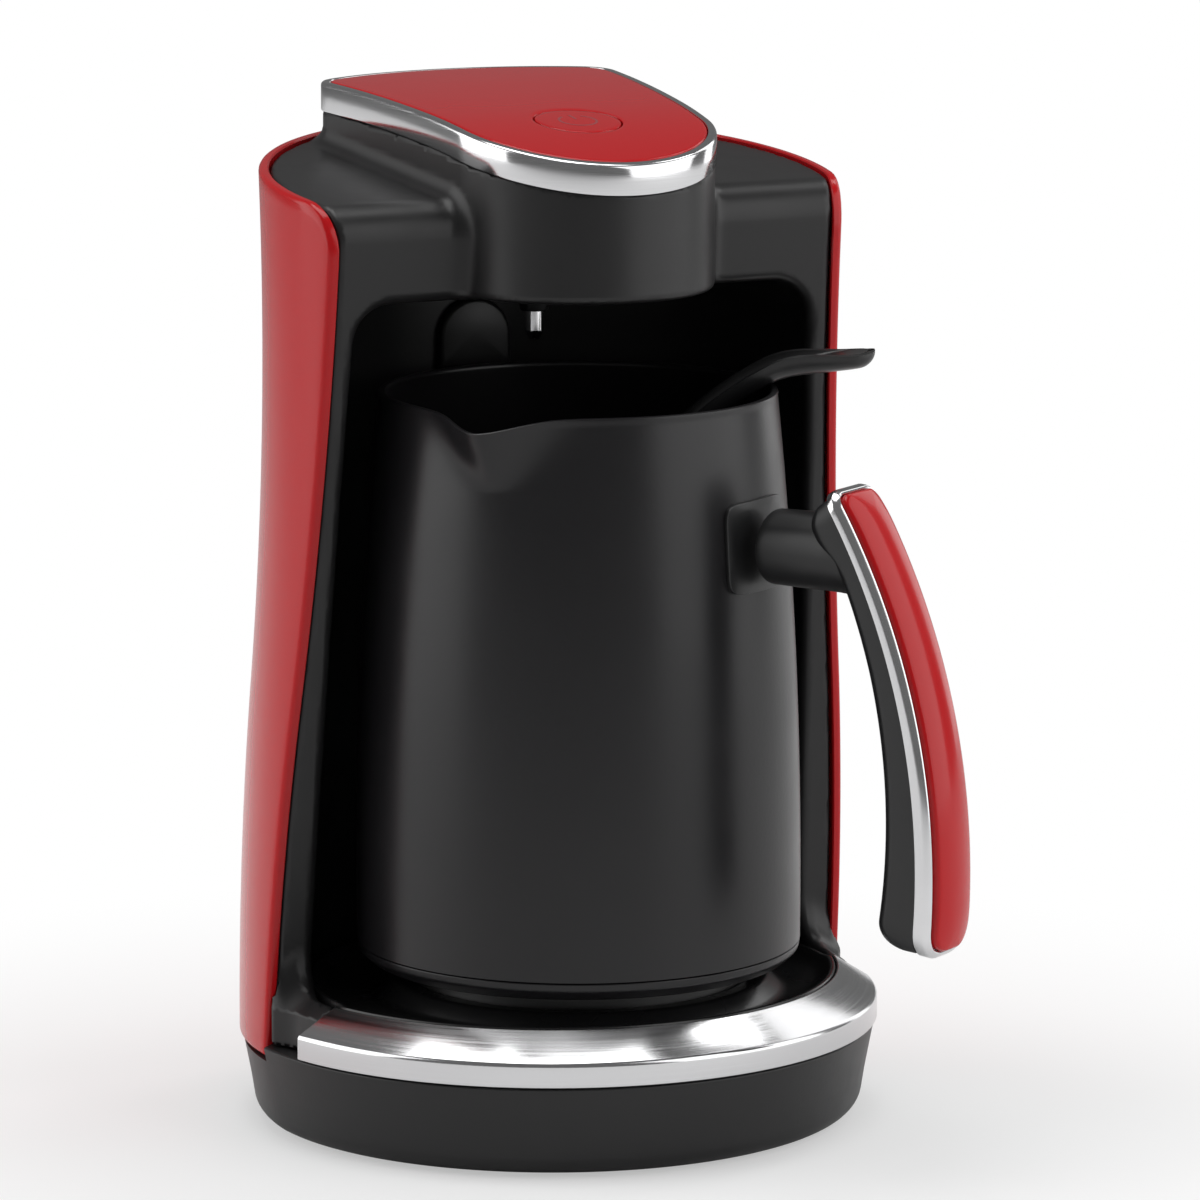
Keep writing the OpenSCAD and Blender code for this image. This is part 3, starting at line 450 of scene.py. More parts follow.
def headDistance(x, y):
    # plan distance to the head's outline: nose circle, straight sides, rounded rear corners, and a rear edge
    # that is an arc about the base's axis
    x = np.abs(x)
    fromNose = np.stack([x, y - head["noseY"]], -1)
    fromCorner = np.stack([x - cornerX, y - cornerY], -1)
    nose = np.hypot(fromNose[..., 0], fromNose[..., 1]) - head["noseR"]
    side = fromNose @ sideNormal - head["noseR"]
    corner = np.hypot(fromCorner[..., 0], fromCorner[..., 1]) - head["cornerR"]
    onArc = x * math.cos(cornerTurn) < y * math.sin(cornerTurn)
    rear = np.where(onArc, np.hypot(x, y) - head["rearR"], corner)
    front = np.where(fromNose @ sideAlong < 0, nose, side)
    return np.where(fromCorner @ sideAlong > 0, rear, front)


def headOutline(grow, count=240):
    # closed plan outline of the head, grown by grow, at equal steps, starting at the middle of the rear: the
    # same arcs as in headDistance, with straight sides between them
    a = np.linspace(0, cornerTurn, 40)
    rear = (head["rearR"] + grow) * np.stack([np.sin(a), np.cos(a)], 1)
    a = np.linspace(math.pi / 2 - cornerTurn, headTurn, 30)[1:]
    corner = [cornerX, cornerY] + (head["cornerR"] + grow) * np.stack([np.cos(a), np.sin(a)], 1)
    a = np.linspace(headTurn, -math.pi / 2, 90)
    nose = [0, head["noseY"]] + (head["noseR"] + grow) * np.stack([np.cos(a), np.sin(a)], 1)
    half = resample(np.concatenate([rear, corner, nose]), count // 2 + 1)
    return np.concatenate([half, half[-2:0:-1] * [-1, 1]])


# centre of the crown's front arc, on the line from the rear arc's centre to the point where both meet
rearArcZ = head["topZ"] - head["rearCrown"]
joinZ = rearArcZ + math.sqrt(head["rearCrown"] ** 2 - head["crownY"] ** 2)
frontArcY = head["crownY"] * head["frontCrown"] / head["rearCrown"]
frontArcZ = joinZ - (joinZ - rearArcZ) * head["frontCrown"] / head["rearCrown"]


def crownZ(y, rise):
    # height of the head's curved top: a flat arc at the rear runs into a tighter falling arc at the front
    rear = rearArcZ + np.sqrt((head["rearCrown"] + rise) ** 2 - (y - head["crownY"]) ** 2)
    front = frontArcZ + np.sqrt((head["frontCrown"] + rise) ** 2 - (y - frontArcY) ** 2)
    return np.where(y > 0, rear, front)


# the room for the pot: radius at the base and at the ceiling
recess = {"y": -10.0, "r": 58.8, "topR": 52.7, "low": 20.3, "ceiling": 180.0, "ceilingRound": 8.0,
          "edge": 2.2}
recessSlope = (recess["r"] - recess["topR"]) / (recess["ceiling"] - recess["low"])


def recessDistance(x, y, z):
    # distance to the recess: a slightly tapering round hollow with a rounded edge to its flat ceiling
    wide = np.hypot(x, y - recess["y"]) - (recess["r"] - recessSlope * (z - recess["low"]))
    return roundCut(wide, z - recess["ceiling"], recess["ceilingRound"])


# the feet are the arms' lower ends: they rise up the slope of the base's ring and end flat in front. An ease
# below 1 lets the fillet reach further, and inside is a depth that cuts nothing
housing = {"setBack": 0.6, "skinGap": 2.5, "sideEdge": 1.0, "shoulderRound": 7.5,
           "noseInset": 0.4, "noseDrop": 5.92, "noseLowEdge": 1.6, "noseTopEdge": 0.5, "noseFillet": 3.6,
           "slopeR": 61.4, "slopeZ": 31.1, "slope": 0.651, "slopeEase": 0.84,
           "footR": 67.7, "footSwell": 1.8, "swellY": -4.0, "swellRun": 10.0, "footEndY": -17.3,
           "stepY": -2.3, "stepR": 65.8, "rootR": 65.3, "rootEase": 0.7, "footFillet": 9.0, "footTop": 34.0,
           "low": 20.7, "inside": -9.0, "from": (-70.3, -43.6, 20.0), "to": (70.3, 62.5, 216.0), "cell": 1.08}


def housingField(x, y, z):
    # distance to the black moulding: a leaning rounded block inside the tower, joined to the head's nose and
    # to the feet by fillets, and hollowed by the recess with a rounded edge
    h = housing
    u = leanCos * (y - tower["cornerY"]) + leanSin * (z - tower["cornerZ"])
    v = -leanSin * (y - tower["cornerY"]) + leanCos * (z - tower["cornerZ"])
    block = roundCut(h["setBack"] - u, v + h["setBack"], h["shoulderRound"])
    flat = np.hypot(x, y)
    body = roundCut(block, flat - (towerR(z) - h["skinGap"]), h["sideEdge"])
    nose = roundCut(headDistance(x, y) + h["noseInset"], recess["ceiling"] - z, h["noseLowEdge"])
    nose = roundCut(nose, z - crownZ(y, -h["noseDrop"]), h["noseTopEdge"])
    body = roundUnion(body, nose, h["noseFillet"])
    slopeZ = h["slopeZ"] - (flat - h["slopeR"]) * h["slope"]
    feet = np.maximum((z - np.minimum(h["slopeZ"], slopeZ)) * h["slopeEase"], h["footEndY"] - y)
    feet = np.maximum(feet, np.maximum(y - h["stepY"], flat - h["rootR"]) * h["rootEase"])
    body = roundUnion(body, feet, h["footFillet"])
    footR = h["footR"] + h["footSwell"] * smoothStep((h["swellY"] - y) / h["swellRun"])
    ends = np.maximum(h["footEndY"] - y, flat - footR)
    ends = np.maximum(ends, np.minimum(flat - h["stepR"], y - h["stepY"]))
    body = np.maximum(body, np.where(z < h["footTop"], ends, h["inside"]))
    body = roundCut(body, -recessDistance(x, y, z), recess["edge"])
    return np.maximum(body, h["low"] - z)


def skinOf(field, low, high, cell):
    # skin of a field: one point in each cell that the surface crosses, at the mean of the crossed edges, slid
    # on to the surface along the slope of the field; the four cells round each crossed edge share a face
    low, high = np.array(low, float), np.array(high, float)
    axes = [np.arange(low[i], high[i] + cell, cell) for i in range(3)]
    value = field(*np.meshgrid(*axes, indexing="ij"))
    inside = value < 0
    size = np.array(value.shape)
    count = np.zeros(size - 1, int)
    for i in (0, 1):
        for j in (0, 1):
            for k in (0, 1):
                count += inside[i:size[0] - 1 + i, j:size[1] - 1 + j, k:size[2] - 1 + k]
    crossed = (count > 0) & (count < 8)
    number = np.full(crossed.shape, -1)
    number[crossed] = np.arange(crossed.sum())
    place = np.argwhere(crossed)
    total, hits = np.zeros((len(place), 3)), np.zeros(len(place))
    for axis in range(3):
        step = np.eye(3, dtype=int)[axis]
        others = [a for a in range(3) if a != axis]
        for p in (0, 1):
            for q in (0, 1):
                corner = np.zeros(3, int)
                corner[others[0]], corner[others[1]] = p, q
                a = place + corner
                b = a + step
                va, vb = value[tuple(a.T)], value[tuple(b.T)]
                cut = (va < 0) != (vb < 0)
                t = np.where(cut, va / np.where(cut, va - vb, 1), 0)
                total += np.where(cut, 1, 0)[:, None] * (corner + step * t[:, None])
                hits += cut
    points = low + (place + total / hits[:, None]) * cell

    def slope(p, h=0.05):
        # slope of the field at points: its difference over a step of 2h along each axis, divided by 2h
        return np.stack([(field(*(p + h * e).T) - field(*(p - h * e).T)) / (2 * h) for e in np.eye(3)], 1)

    for _ in range(5):
        g = slope(points)
        move = field(*points.T)[:, None] * g / np.maximum((g ** 2).sum(1), 0.2)[:, None]
        length = np.linalg.norm(move, axis=1)[:, None]
        points = points - move * np.minimum(1, 0.5 * cell / np.maximum(length, 1e-9))
    faces = []
    for axis in range(3):
        b, c = (axis + 1) % 3, (axis + 2) % 3
        first = np.take(inside, np.arange(size[axis] - 1), axis)
        second = np.take(inside, np.arange(1, size[axis]), axis)
        edge = np.argwhere(first != second)
        within = (edge[:, b] > 0) & (edge[:, c] > 0) & (edge[:, b] < size[b] - 1) & (edge[:, c] < size[c] - 1)
        edge = edge[within]
        eb, ec = np.eye(3, dtype=int)[b], np.eye(3, dtype=int)[c]
        quad = np.stack([number[tuple((edge - s).T)] for s in (eb + ec, ec, 0 * eb, eb)], 1)
        wrong = ~inside[tuple(edge.T)]
        quad[wrong] = quad[wrong][:, ::-1]
        faces.append(quad)
    g = slope(points, 0.12)
    return points, np.concatenate(faces), g / np.linalg.norm(g, axis=1)[:, None]


points, faces, normals = skinOf(housingField, housing["from"], housing["to"], housing["cell"])
makePiece("blackHousing", "machine", blackSatin, [(points, faces)], 35, ["inner_housing"],
          normals=normals)


# the band's closed section, as growth of the head's outline and rise over its crown
bandSection = [(-1.7, -5.7), (-1.9, -1.4), (-1.9, 0.2), (-1.8, 0.42), (-1.6, 0.5), (-0.7, 0.46), (-0.45, 0.4),
               (-0.2, 0.22), (-0.06, -0.02), (0.0, -0.35), (0.0, -5.45), (-0.1, -5.7), (-0.35, -5.8),
               (-1.4, -5.8)]
bandLoops = []
for grow, rise in bandSection:
    plan = headOutline(grow)
    bandLoops.append(np.column_stack([plan, crownZ(plan[:, 1], rise)]))
makePiece("steelBand", "machine", brushedSteel, [loftLoops(bandLoops, True)], 40,
          ["head_band"])

# the edges are lists of (distance inwards, drop below the flat top)
button = {"r": 9.2, "y": -12.4, "gap": 0.3, "foot": -2.6, "edge": [(0.0, 0.35), (0.1, 0.12), (0.35, 0.0)],
          "rings": (8.2, 7.2, 6, 4.6, 3.2, 1.8, 0.7)}
plate = {"inset": 2.05, "low": -1.9, "rise": 0.5,
         "edge": [(0.0, 0.5), (0.12, 0.22), (0.36, 0.05), (0.7, 0.0)],
         "holeEdge": [(0.35, 0.0), (0.1, 0.1), (0.0, 0.35)]}

tiltCos = math.sqrt(1 - ((frontArcY - button["y"]) / head["frontCrown"]) ** 2)
turns = np.linspace(-math.pi, math.pi, 256, endpoint=False)


def buttonSpot(x, y, rise):
    # point on the head's top from distances to the button's middle in its own tilted plane
    yy = button["y"] + y * tiltCos
    return np.stack([x + 0 * yy, yy, crownZ(yy, rise)], -1)


def ringOnTop(radius, rise):
    # circle of the button's plane laid on the head's top
    return buttonSpot(radius * np.sin(turns), -radius * np.cos(turns), rise)


def plateLoop(shrink, rise):
    # outline of the plate, shrunk, at the same turns about the button as the other loops
    plan = headOutline(-plate["inset"] - shrink, 720)
    turn = np.arctan2(plan[:, 0], -(plan[:, 1] - button["y"]) / tiltCos)
    order = np.argsort(turn)
    x = np.interp(turns, turn[order], plan[order, 0], period=2 * math.pi)
    y = np.interp(turns, turn[order], plan[order, 1], period=2 * math.pi)
    return np.stack([x, y, crownZ(y, rise)], 1)


holeR = button["r"] + button["gap"]
plateLoops = [plateLoop(0.0, plate["low"])]
plateLoops += [plateLoop(shrink, plate["rise"] - drop) for shrink, drop in plate["edge"]]
holeLoops = [ringOnTop(holeR + wider, plate["rise"] - drop) for wider, drop in plate["holeEdge"]]
outerLoop, holeLoop = plateLoops[-1], holeLoops[0]
for t in np.linspace(0, 1, 30)[1:-1]:
    flatLoop = outerLoop * (1 - t) + holeLoop * t
    flatLoop[:, 2] = crownZ(flatLoop[:, 1], plate["rise"])
    plateLoops.append(flatLoop)
plateLoops += holeLoops + [ringOnTop(holeR, plate["low"])]
makePiece("redTopPlate", "machine", redGloss, [loftLoops(plateLoops, True)], 35, ["top_plate"])

capLoops = [ringOnTop(button["r"], button["foot"])]
capLoops += [ringOnTop(button["r"] - shrink, plate["rise"] - drop) for shrink, drop in button["edge"]]
capLoops += [ringOnTop(r, plate["rise"]) for r in button["rings"]]
makePiece("pushButton", "button", redGloss, [loftLoops(capLoops)], 35, ["power_button"])

# a ring that is open at the top and a stroke through the opening
symbol = {"r": 4.0, "from": 32, "to": 328, "low": 1.0, "high": 4.6, "line": 0.55, "rise": 0.53, "thick": 0.12}


def strokeOnTop(path):
    # flat line along a path in the button's plane, with a width and a thickness, laid on the head's top
    ahead = np.gradient(path, axis=0)
    ahead /= np.linalg.norm(ahead, axis=1)[:, None]
    side = np.stack([-ahead[:, 1], ahead[:, 0]], 1) * symbol["line"] / 2
    low, high = symbol["rise"] - symbol["thick"], symbol["rise"]
    loops = []
    for reach, up in ((-1, low), (-1, high), (1, high), (1, low)):
        p = path + side * reach
        loops.append(buttonSpot(p[:, 0], p[:, 1], up))
    grid = np.stack(loops, 1)
    lastRow = 4 * (len(path) - 1)
    ends = [[0, 1, 2, 3], [lastRow + i for i in (3, 2, 1, 0)]]
    return grid.reshape(-1, 3), gridFaces(len(path), 4, False, True).tolist() + ends


arc = np.radians(np.linspace(symbol["from"], symbol["to"], 60))
openRing = np.stack([symbol["r"] * np.sin(arc), symbol["r"] * np.cos(arc)], 1)
stroke = np.stack([np.zeros(8), np.linspace(symbol["low"], symbol["high"], 8)], 1)
makePiece("powerSymbol", "button", symbolGrey, [strokeOnTop(openRing), strokeOnTop(stroke)], 35)
print("head made")


# above the seam the wall steps in behind stepY, to leave room for the shell; in front of that, frontR is too
# wide to cut anything
tub = {"low": 0.6, "floorR": 66.0, "flatR": 56.0, "bellyR": 67.4, "bellyZ": 9.6, "seamR": 68.85,
       "seamZ": 17.2, "topR": 69.4, "topZ": 20.3, "innerR": 60.0, "drawIn": 4.0, "rearR": 65.8,
       "frontR": 99.0, "stepY": -1.6, "stepRun": 1.2}

turn = np.linspace(-math.pi, math.pi, 160, endpoint=False)
tubProfile = roundCorners([[0, tub["low"]], [tub["floorR"], tub["low"]], [tub["bellyR"], tub["bellyZ"]],
                           [tub["seamR"] - 0.02, tub["seamZ"] - 0.1],
                           [tub["seamR"] + 0.02, tub["seamZ"] + 0.1],
                           [tub["topR"], tub["topZ"] - 0.3], [tub["topR"] - 0.5, tub["topZ"]],
                           [tub["innerR"], tub["topZ"]]], [9.5, 30.0, 0, 0, 0.3, 0.2], 10)
floorPart = [[r, tub["low"]] for r in np.linspace(0, tub["flatR"], 14)[:-1]]
tubProfile = np.concatenate([floorPart, tubProfile[1:]])


def drawnIn(r):
    # radius at each turn of a circle whose rear is cut off by the same circle moved forwards by drawIn
    moved = tub["drawIn"] * np.cos(turn)
    moved = moved + np.sqrt(np.maximum(r ** 2 - (tub["drawIn"] * np.sin(turn)) ** 2, 0))
    return np.minimum(r, moved) if r > 8 else np.full(turn.shape, r)


tubLoops = []
for r, z in tubProfile:
    rr = drawnIn(r)
    if z > tub["seamZ"]:
        behind = smoothStep((-rr * np.cos(turn) - tub["stepY"]) / tub["stepRun"])
        rr = np.minimum(rr, tub["rearR"] * behind + tub["frontR"] * (1 - behind))
    tubLoops.append(np.stack([rr * np.sin(turn), -rr * np.cos(turn), np.full(turn.shape, z)], 1))
makePiece("blackTub", "machine", blackSatin, [loftLoops(tubLoops)], 30, ["base_tub"])


ring = {"outerR": 70.0, "skirtR": 69.0, "low": 20.6, "edgeZ": 25.6, "topR": 61.6, "topZ": 31.15,
        "innerR": 61.3, "lipTop": 30.9, "lipLow": 29.4, "underR": 68.6, "underZ": 24.2, "skirtTop": 23.0,
        "skirtMid": 22.0, "endY": -17.6, "steps": 181}

# a closed section: up the outer face, up the slope to the inner lip, and back along the underside
ringProfile = roundCorners(
    [[ring["skirtR"], ring["skirtMid"]], [ring["skirtR"], ring["low"]], [ring["outerR"], ring["low"]],
     [ring["outerR"], ring["edgeZ"]], [ring["topR"], ring["topZ"]], [ring["innerR"], ring["lipTop"]],
     [ring["innerR"], ring["lipLow"]], [ring["underR"], ring["underZ"]], [ring["skirtR"], ring["skirtTop"]],
     [ring["skirtR"], ring["skirtMid"]]], [0.1, 0.25, 1.3, 0.35, 0.1, 0.1, 0.6, 0.1], 7)[:-1]
# each point of the section turns about the axis up to the plane of the two ends
share = np.linspace(-1, 1, ring["steps"])[:, None]
ringTurn = share * np.arccos(-ring["endY"] / ringProfile[:, 0])[None]
r, z = ringProfile[:, 0][None], ringProfile[:, 1][None]
ringGrid = np.stack([r * np.sin(ringTurn), -r * np.cos(ringTurn), np.broadcast_to(z, ringTurn.shape)], -1)
oneEnd = list(range(len(ringProfile)))
otherEnd = [(ring["steps"] - 1) * len(ringProfile) + i for i in reversed(oneEnd)]
ringFaces = gridFaces(ring["steps"], len(ringProfile), False, True).tolist() + [oneEnd, otherEnd]
makePiece("steelRing", "machine", ringSteel, [(ringGrid.reshape(-1, 3), ringFaces)], 35,
          ["trim_ring"])


# its edge is a list of (distance inwards, height), and its raised seat one of (radius, height)
deck = {"frontR": 61.0, "rearR": 57.7, "joinY": -19.0, "joinRun": 2.4, "seatY": -12.5,
        "edge": [(0.4, 26.6), (0.0, 27.0), (0.0, 30.9), (0.25, 31.25), (0.7, 31.35), (1.3, 31.1), (2.2, 30.2),
                 (3.4, 29.3), (5.0, 28.9), (7.0, 28.8)],
        "seat": [(45.0, 28.8), (44.0, 28.95), (43.1, 29.6), (40.9, 32.0), (40.2, 32.4), (39.4, 32.4),
                 (36.9, 32.3), (36.5, 31.9), (36.5, 29.5), (39.0, 29.4), (39.0, 26.6)]}


def deckLoop(shrink, z):
    # deck outline: radius of the ring's inner circle in front, and of the recess circle behind
    limit = deck["frontR"] - shrink
    circle = deck["rearR"] - shrink
    c, s = np.cos(turn), np.sin(turn)
    inRecess = -recess["y"] * c + np.sqrt(circle ** 2 - (recess["y"] * s) ** 2)
    behind = smoothStep((-limit * c - deck["joinY"]) / deck["joinRun"])
    rr = np.minimum(limit, inRecess * behind + limit * (1 - behind))
    return np.stack([rr * s, -rr * c, np.full(turn.shape, z)], 1)


def potRing(r, z, turns):
    # circle about the pot's axis
    return np.stack([r * np.sin(turns), deck["seatY"] - r * np.cos(turns), np.full(turns.shape, z)], 1)


edgeLoops = [deckLoop(shrink, z) for shrink, z in deck["edge"]]
seatLoops = [potRing(r, z, turn) for r, z in deck["seat"]]
floorLoops = [edgeLoops[-1] * (1 - t) + seatLoops[0] * t for t in (0.35, 0.7)]
makePiece("blackDeck", "machine", recessBlack,
          [loftLoops(edgeLoops + floorLoops + seatLoops, True)], 40, ["pot_deck"])


heater = {"r": 36.0, "topZ": 35.9, "flangeR": 38.5, "flangeZ": 29.1, "low": 27.7, "hollowR": 33.0,
          "hollowZ": 33.0, "grooveOut": 30.0, "grooveIn": 19.6, "grooveZ": 35.5}

# half section from the hollow underside, round the flange and over the top with its shallow groove
heaterProfile = roundCorners(
    [[0, heater["hollowZ"]], [heater["hollowR"], heater["hollowZ"]], [heater["hollowR"], heater["low"]],
     [heater["flangeR"], heater["low"]], [heater["flangeR"], heater["flangeZ"]],
     [heater["r"], heater["flangeZ"]], [heater["r"], heater["topZ"]], [heater["grooveOut"], heater["topZ"]],
     [heater["grooveOut"] - 0.5, heater["grooveZ"]], [heater["grooveIn"] + 0.4, heater["grooveZ"]],
     [heater["grooveIn"], heater["topZ"]], [0, heater["topZ"]]],
    [0.3, 0.2, 0.3, 0.3, 0.2, 0.9, 0.2, 0.2, 0.2, 0.2], 5)
makePiece("heaterPlate", "machine", heaterCoat, [lathe(heaterProfile, deck["seatY"])], 35,
          ["heater_plate"])
print("base made")


probe = {"y": 10.0, "r": 2.0, "tipR": 1.1, "tipZ": 166.6, "coneZ": 168.6, "topZ": 184.0}
probeProfile = roundCorners([[0, probe["tipZ"]], [probe["tipR"], probe["tipZ"]], [probe["r"], probe["coneZ"]],
                             [probe["r"], probe["topZ"]], [0, probe["topZ"]]], [0.9, 0.8, 0.1], 6)
makePiece("probeRod", "machine", polishedChrome, [lathe(probeProfile, probe["y"], 48)], 40,
          ["sensor_probe"])

collar = {"boreR": 2.05, "tipR": 3.0, "tipZ": 173.0, "r": 3.5, "coneZ": 176.5, "flangeR": 5.6,
          "flangeLow": 178.2, "flangeTop": 179.8, "topZ": 183.0}
collarProfile = roundCorners(
    [[collar["boreR"], collar["topZ"]], [collar["boreR"], collar["tipZ"]], [collar["tipR"], collar["tipZ"]],
     [collar["r"], collar["coneZ"]], [collar["r"], collar["flangeLow"]],
     [collar["flangeR"], collar["flangeLow"] + 0.2], [collar["flangeR"], collar["flangeTop"]],
     [collar["r"], collar["flangeTop"]], [collar["r"], collar["topZ"]], [collar["boreR"], collar["topZ"]]],
    [0.1, 0.4, 0.8, 0.5, 0.5, 0.1, 0.1, 0.1], 5)
makePiece("probeCollar", "machine", darkSatin, [lathe(collarProfile, probe["y"], 48)], 40,
          ["probe_collar"])

# its edge is a list of (distance inwards, distance behind the hood's face)
hood = {"halfWidth": 8.5, "low": 156.4, "turnZ": 163.4, "front": 40.6, "backGap": 0.2,
        "edge": [(8.0, 0.0), (1.1, 0.0), (0.55, 0.15), (0.15, 0.55), (0.0, 1.1), (0.0, math.inf)]}
hoodArc = np.linspace(0, math.pi, 25)
hoodSide = np.linspace(hood["low"], hood["turnZ"], 8)[:-1]


def hoodLoop(inset, behind):
    # arch seen from the front, drawn in by inset: straight sides under half a circle. It lies behind the
    # hood's face, but at most just in front of the recess's wall
    r = hood["halfWidth"] - inset
    x = np.concatenate([np.full(7, r), r * np.cos(hoodArc), np.full(7, -r)])
    z = np.concatenate([hoodSide, hood["turnZ"] + r * np.sin(hoodArc), hoodSide[::-1]])
    z = np.maximum(z, hood["low"] + inset)
    wallR = recess["topR"] + recessSlope * (recess["ceiling"] - z) - hood["backGap"]
    wallY = recess["y"] + np.sqrt(wallR ** 2 - x ** 2)
    return np.stack([x, np.minimum(hood["front"] + behind, wallY), z], 1)


hoodLoops = [hoodLoop(inset, behind) for inset, behind in hood["edge"]]
makePiece("wallHood", "machine", blackSatin, [loftLoops(hoodLoops)], 40, ["vent_hood"])


# its lip is a list of (height over the rim, depth into the wall), and its inner corner of (radius, height)
pot = {"y": deck["seatY"], "r": 47.7, "curve": 1060.0, "widestUp": 12.0, "seam": 40.3, "rim": 159.0,
       "wall": 1.6, "underR": 46.6, "underZ": 40.4, "wallLow": 43.5, "floorR": 20.0, "floorZ": 42.3,
       "coarseTop": 130.0, "fineLow": 134.0,
       "lip": [(-0.55, -0.12), (-0.2, -0.1), (-0.02, 0.25), (0.0, 0.7), (-0.1, 1.2), (-0.5, 1.55)],
       "corner": [(45.4, 43.1), (44.6, 42.5), (43.0, 42.3)]}
spout = {"turn": -50.0, "out": 8.6, "depth": 15.0, "drop": 2.6, "dropDepth": 24.0, "width": 19.0,
         "narrow": 0.45, "power": 1.7, "steep": 2.2, "climbPower": 1.5, "ease": 0.25}

around = np.linspace(0, 2 * math.pi, 288, endpoint=False)


def potR(z):
    # radius of the pot's wall: one slow arc about its widest height
    return pot["r"] - pot["curve"] + np.sqrt(pot["curve"] ** 2 - (z - pot["seam"] - pot["widestUp"]) ** 2)


def hump(away, width):
    # swell over the degrees away from the spout's middle: exp(-steep * |away / width| ^ power)
    return np.exp(-((np.abs(away) / width) ** spout["power"]) * spout["steep"])


def wallLoop(z, depth):
    # wall of the pot at a height: circle plus the spout. The spout grows as climb^1.5 * (1.25 - climb / 4)
    # and widens towards the rim, and a hump of its full width takes the rim down
    away = np.degrees((around - math.radians(spout["turn"]) + math.pi) % (2 * math.pi) - math.pi)
    climb = np.clip((z - (pot["rim"] - spout["depth"])) / spout["depth"], 0, 1)
    lift = climb ** spout["climbPower"] * (1 + spout["ease"] - spout["ease"] * climb)
    width = spout["width"] * (spout["narrow"] + (1 - spout["narrow"]) * climb)
    dropShare = smoothStep((z - pot["rim"] + spout["dropDepth"]) / spout["dropDepth"])
    drop = spout["drop"] * hump(away, spout["width"]) * dropShare
    r = potR(np.array(z)) - depth + spout["out"] * lift * hump(away, width)
    return np.stack([r * np.sin(around), pot["y"] - r * np.cos(around), z - drop], 1)


# one skin from the middle of the underside up the outside, over the lip and down to the middle of the floor
levels = np.concatenate([np.linspace(pot["seam"] + 0.15, pot["coarseTop"], 14),
                         np.linspace(pot["fineLow"], pot["rim"] - 1.1, 26)])
potRows = [potRing(r, pot["underZ"], around) for r in (0.0, pot["underR"])]
potRows += [wallLoop(z, 0.0) for z in levels]
potRows += [wallLoop(pot["rim"] + up, depth) for up, depth in pot["lip"]]
potRows += [wallLoop(z, pot["wall"]) for z in levels[::-1] if z > pot["wallLow"]]
potRows += [potRing(r, z, around) for r, z in pot["corner"]]
potRows += [potRing(r, pot["floorZ"], around) for r in (pot["floorR"], 0.0)]
potRows = np.array(potRows)
makePiece("potBody", "pot", potCoating,
          [(potRows, gridFaces(len(potRows), len(around), False, True))], 40, ["pot_body"])

bottom = {"low": 36.0, "flatR": 44.5, "bendR": 47.3, "bendZ": 38.4, "r": 47.6, "edgeZ": 40.1, "seamR": 46.9,
          "seamZ": 40.25}
bottomProfile = roundCorners([[0, bottom["low"]], [bottom["flatR"], bottom["low"]],
                              [bottom["bendR"], bottom["bendZ"]], [bottom["r"], bottom["edgeZ"]],
                              [bottom["seamR"], bottom["seamZ"]], [0, bottom["seamZ"]]],
                             [3.4, 1.5, 0.25, 0.2], 8)
makePiece("potBottom", "pot", potCoating, [lathe(bottomProfile, pot["y"], 192)], 40,
          ["pot_base"])


# in the plane through the pot's axis at the handle's turn, x is the distance from that axis; the grip lies
# between an inner arc and the face's arc, each with its own centre, from the angle low to the angle high
handle = {"turn": 33.0, "innerR": 130.0, "innerX": -50.4, "innerZ": 73.6, "faceR": 147.7, "faceX": -60.0,
          "faceZ": 62.0, "faceGrowth": 1.0, "width": 17.0, "low": -5.5, "high": 32.4, "lowRound": 6.0,
          "highRound": 4.4, "sideDraw": 0.35, "cornerR": 2.8, "thinnest": 0.4, "knuckle": 2.4,
          "knuckleFrom": 17.0, "knuckleRun": 11.0}


def turned(p, azimuth):
    # from the pot's own frame, x out along an azimuth to the right of the front, to the object's frame
    a = math.radians(azimuth)
    p = np.asarray(p, float)
    return np.stack([p[..., 0] * math.sin(a) + p[..., 1] * math.cos(a),
                     pot["y"] - p[..., 0] * math.cos(a) + p[..., 1] * math.sin(a), p[..., 2]], -1)


def superLoop(count, power):
    # closed rounded-square outline: |x|^power + |y|^power = 1
    a = np.linspace(0, 2 * math.pi, count, endpoint=False)
    c, s = np.cos(a), np.sin(a)
    return np.stack([np.sign(c) * np.abs(c) ** (2 / power), np.sign(s) * np.abs(s) ** (2 / power)], 1)


def faceSpot(radius, across, angle):
    # point of the grip from its radius about the face's centre, its distance across and its angle
    x = handle["faceX"] + radius * np.cos(angle)
    z = handle["faceZ"] + radius * np.sin(angle)
    return turned(np.stack(np.broadcast_arrays(x, across, z), -1), handle["turn"])


def innerRadius(angle):
    # radius about the face's centre at which a ray from there meets the grip's inner arc
    dx, dz = handle["faceX"] - handle["innerX"], handle["faceZ"] - handle["innerZ"]
    ahead = dx * np.cos(angle) + dz * np.sin(angle)
    return -ahead + np.sqrt(ahead ** 2 - dx ** 2 - dz ** 2 + handle["innerR"] ** 2)


def endInset(s, length, lowR, highR):
    # how far a quarter circle draws the surface in at a distance s from the lower end of a length
    low = lowR - np.sqrt(np.clip(lowR ** 2 - np.clip(lowR - s, 0, lowR) ** 2, 0, None))
    high = highR - np.sqrt(np.clip(highR ** 2 - np.clip(highR - length + s, 0, highR) ** 2, 0, None))
    return np.maximum(low, high)


def endSteps(length, lowR, highR, count=80):
    # distances along a length that are close together at both rounded ends: 1 - cosine of equal angles
    q = 1 - np.cos(np.linspace(0, math.pi / 2, 12))
    between = np.linspace(lowR, length - highR, count)[1:-1]
    return np.concatenate([q * lowR, between, length - q[::-1] * highR])


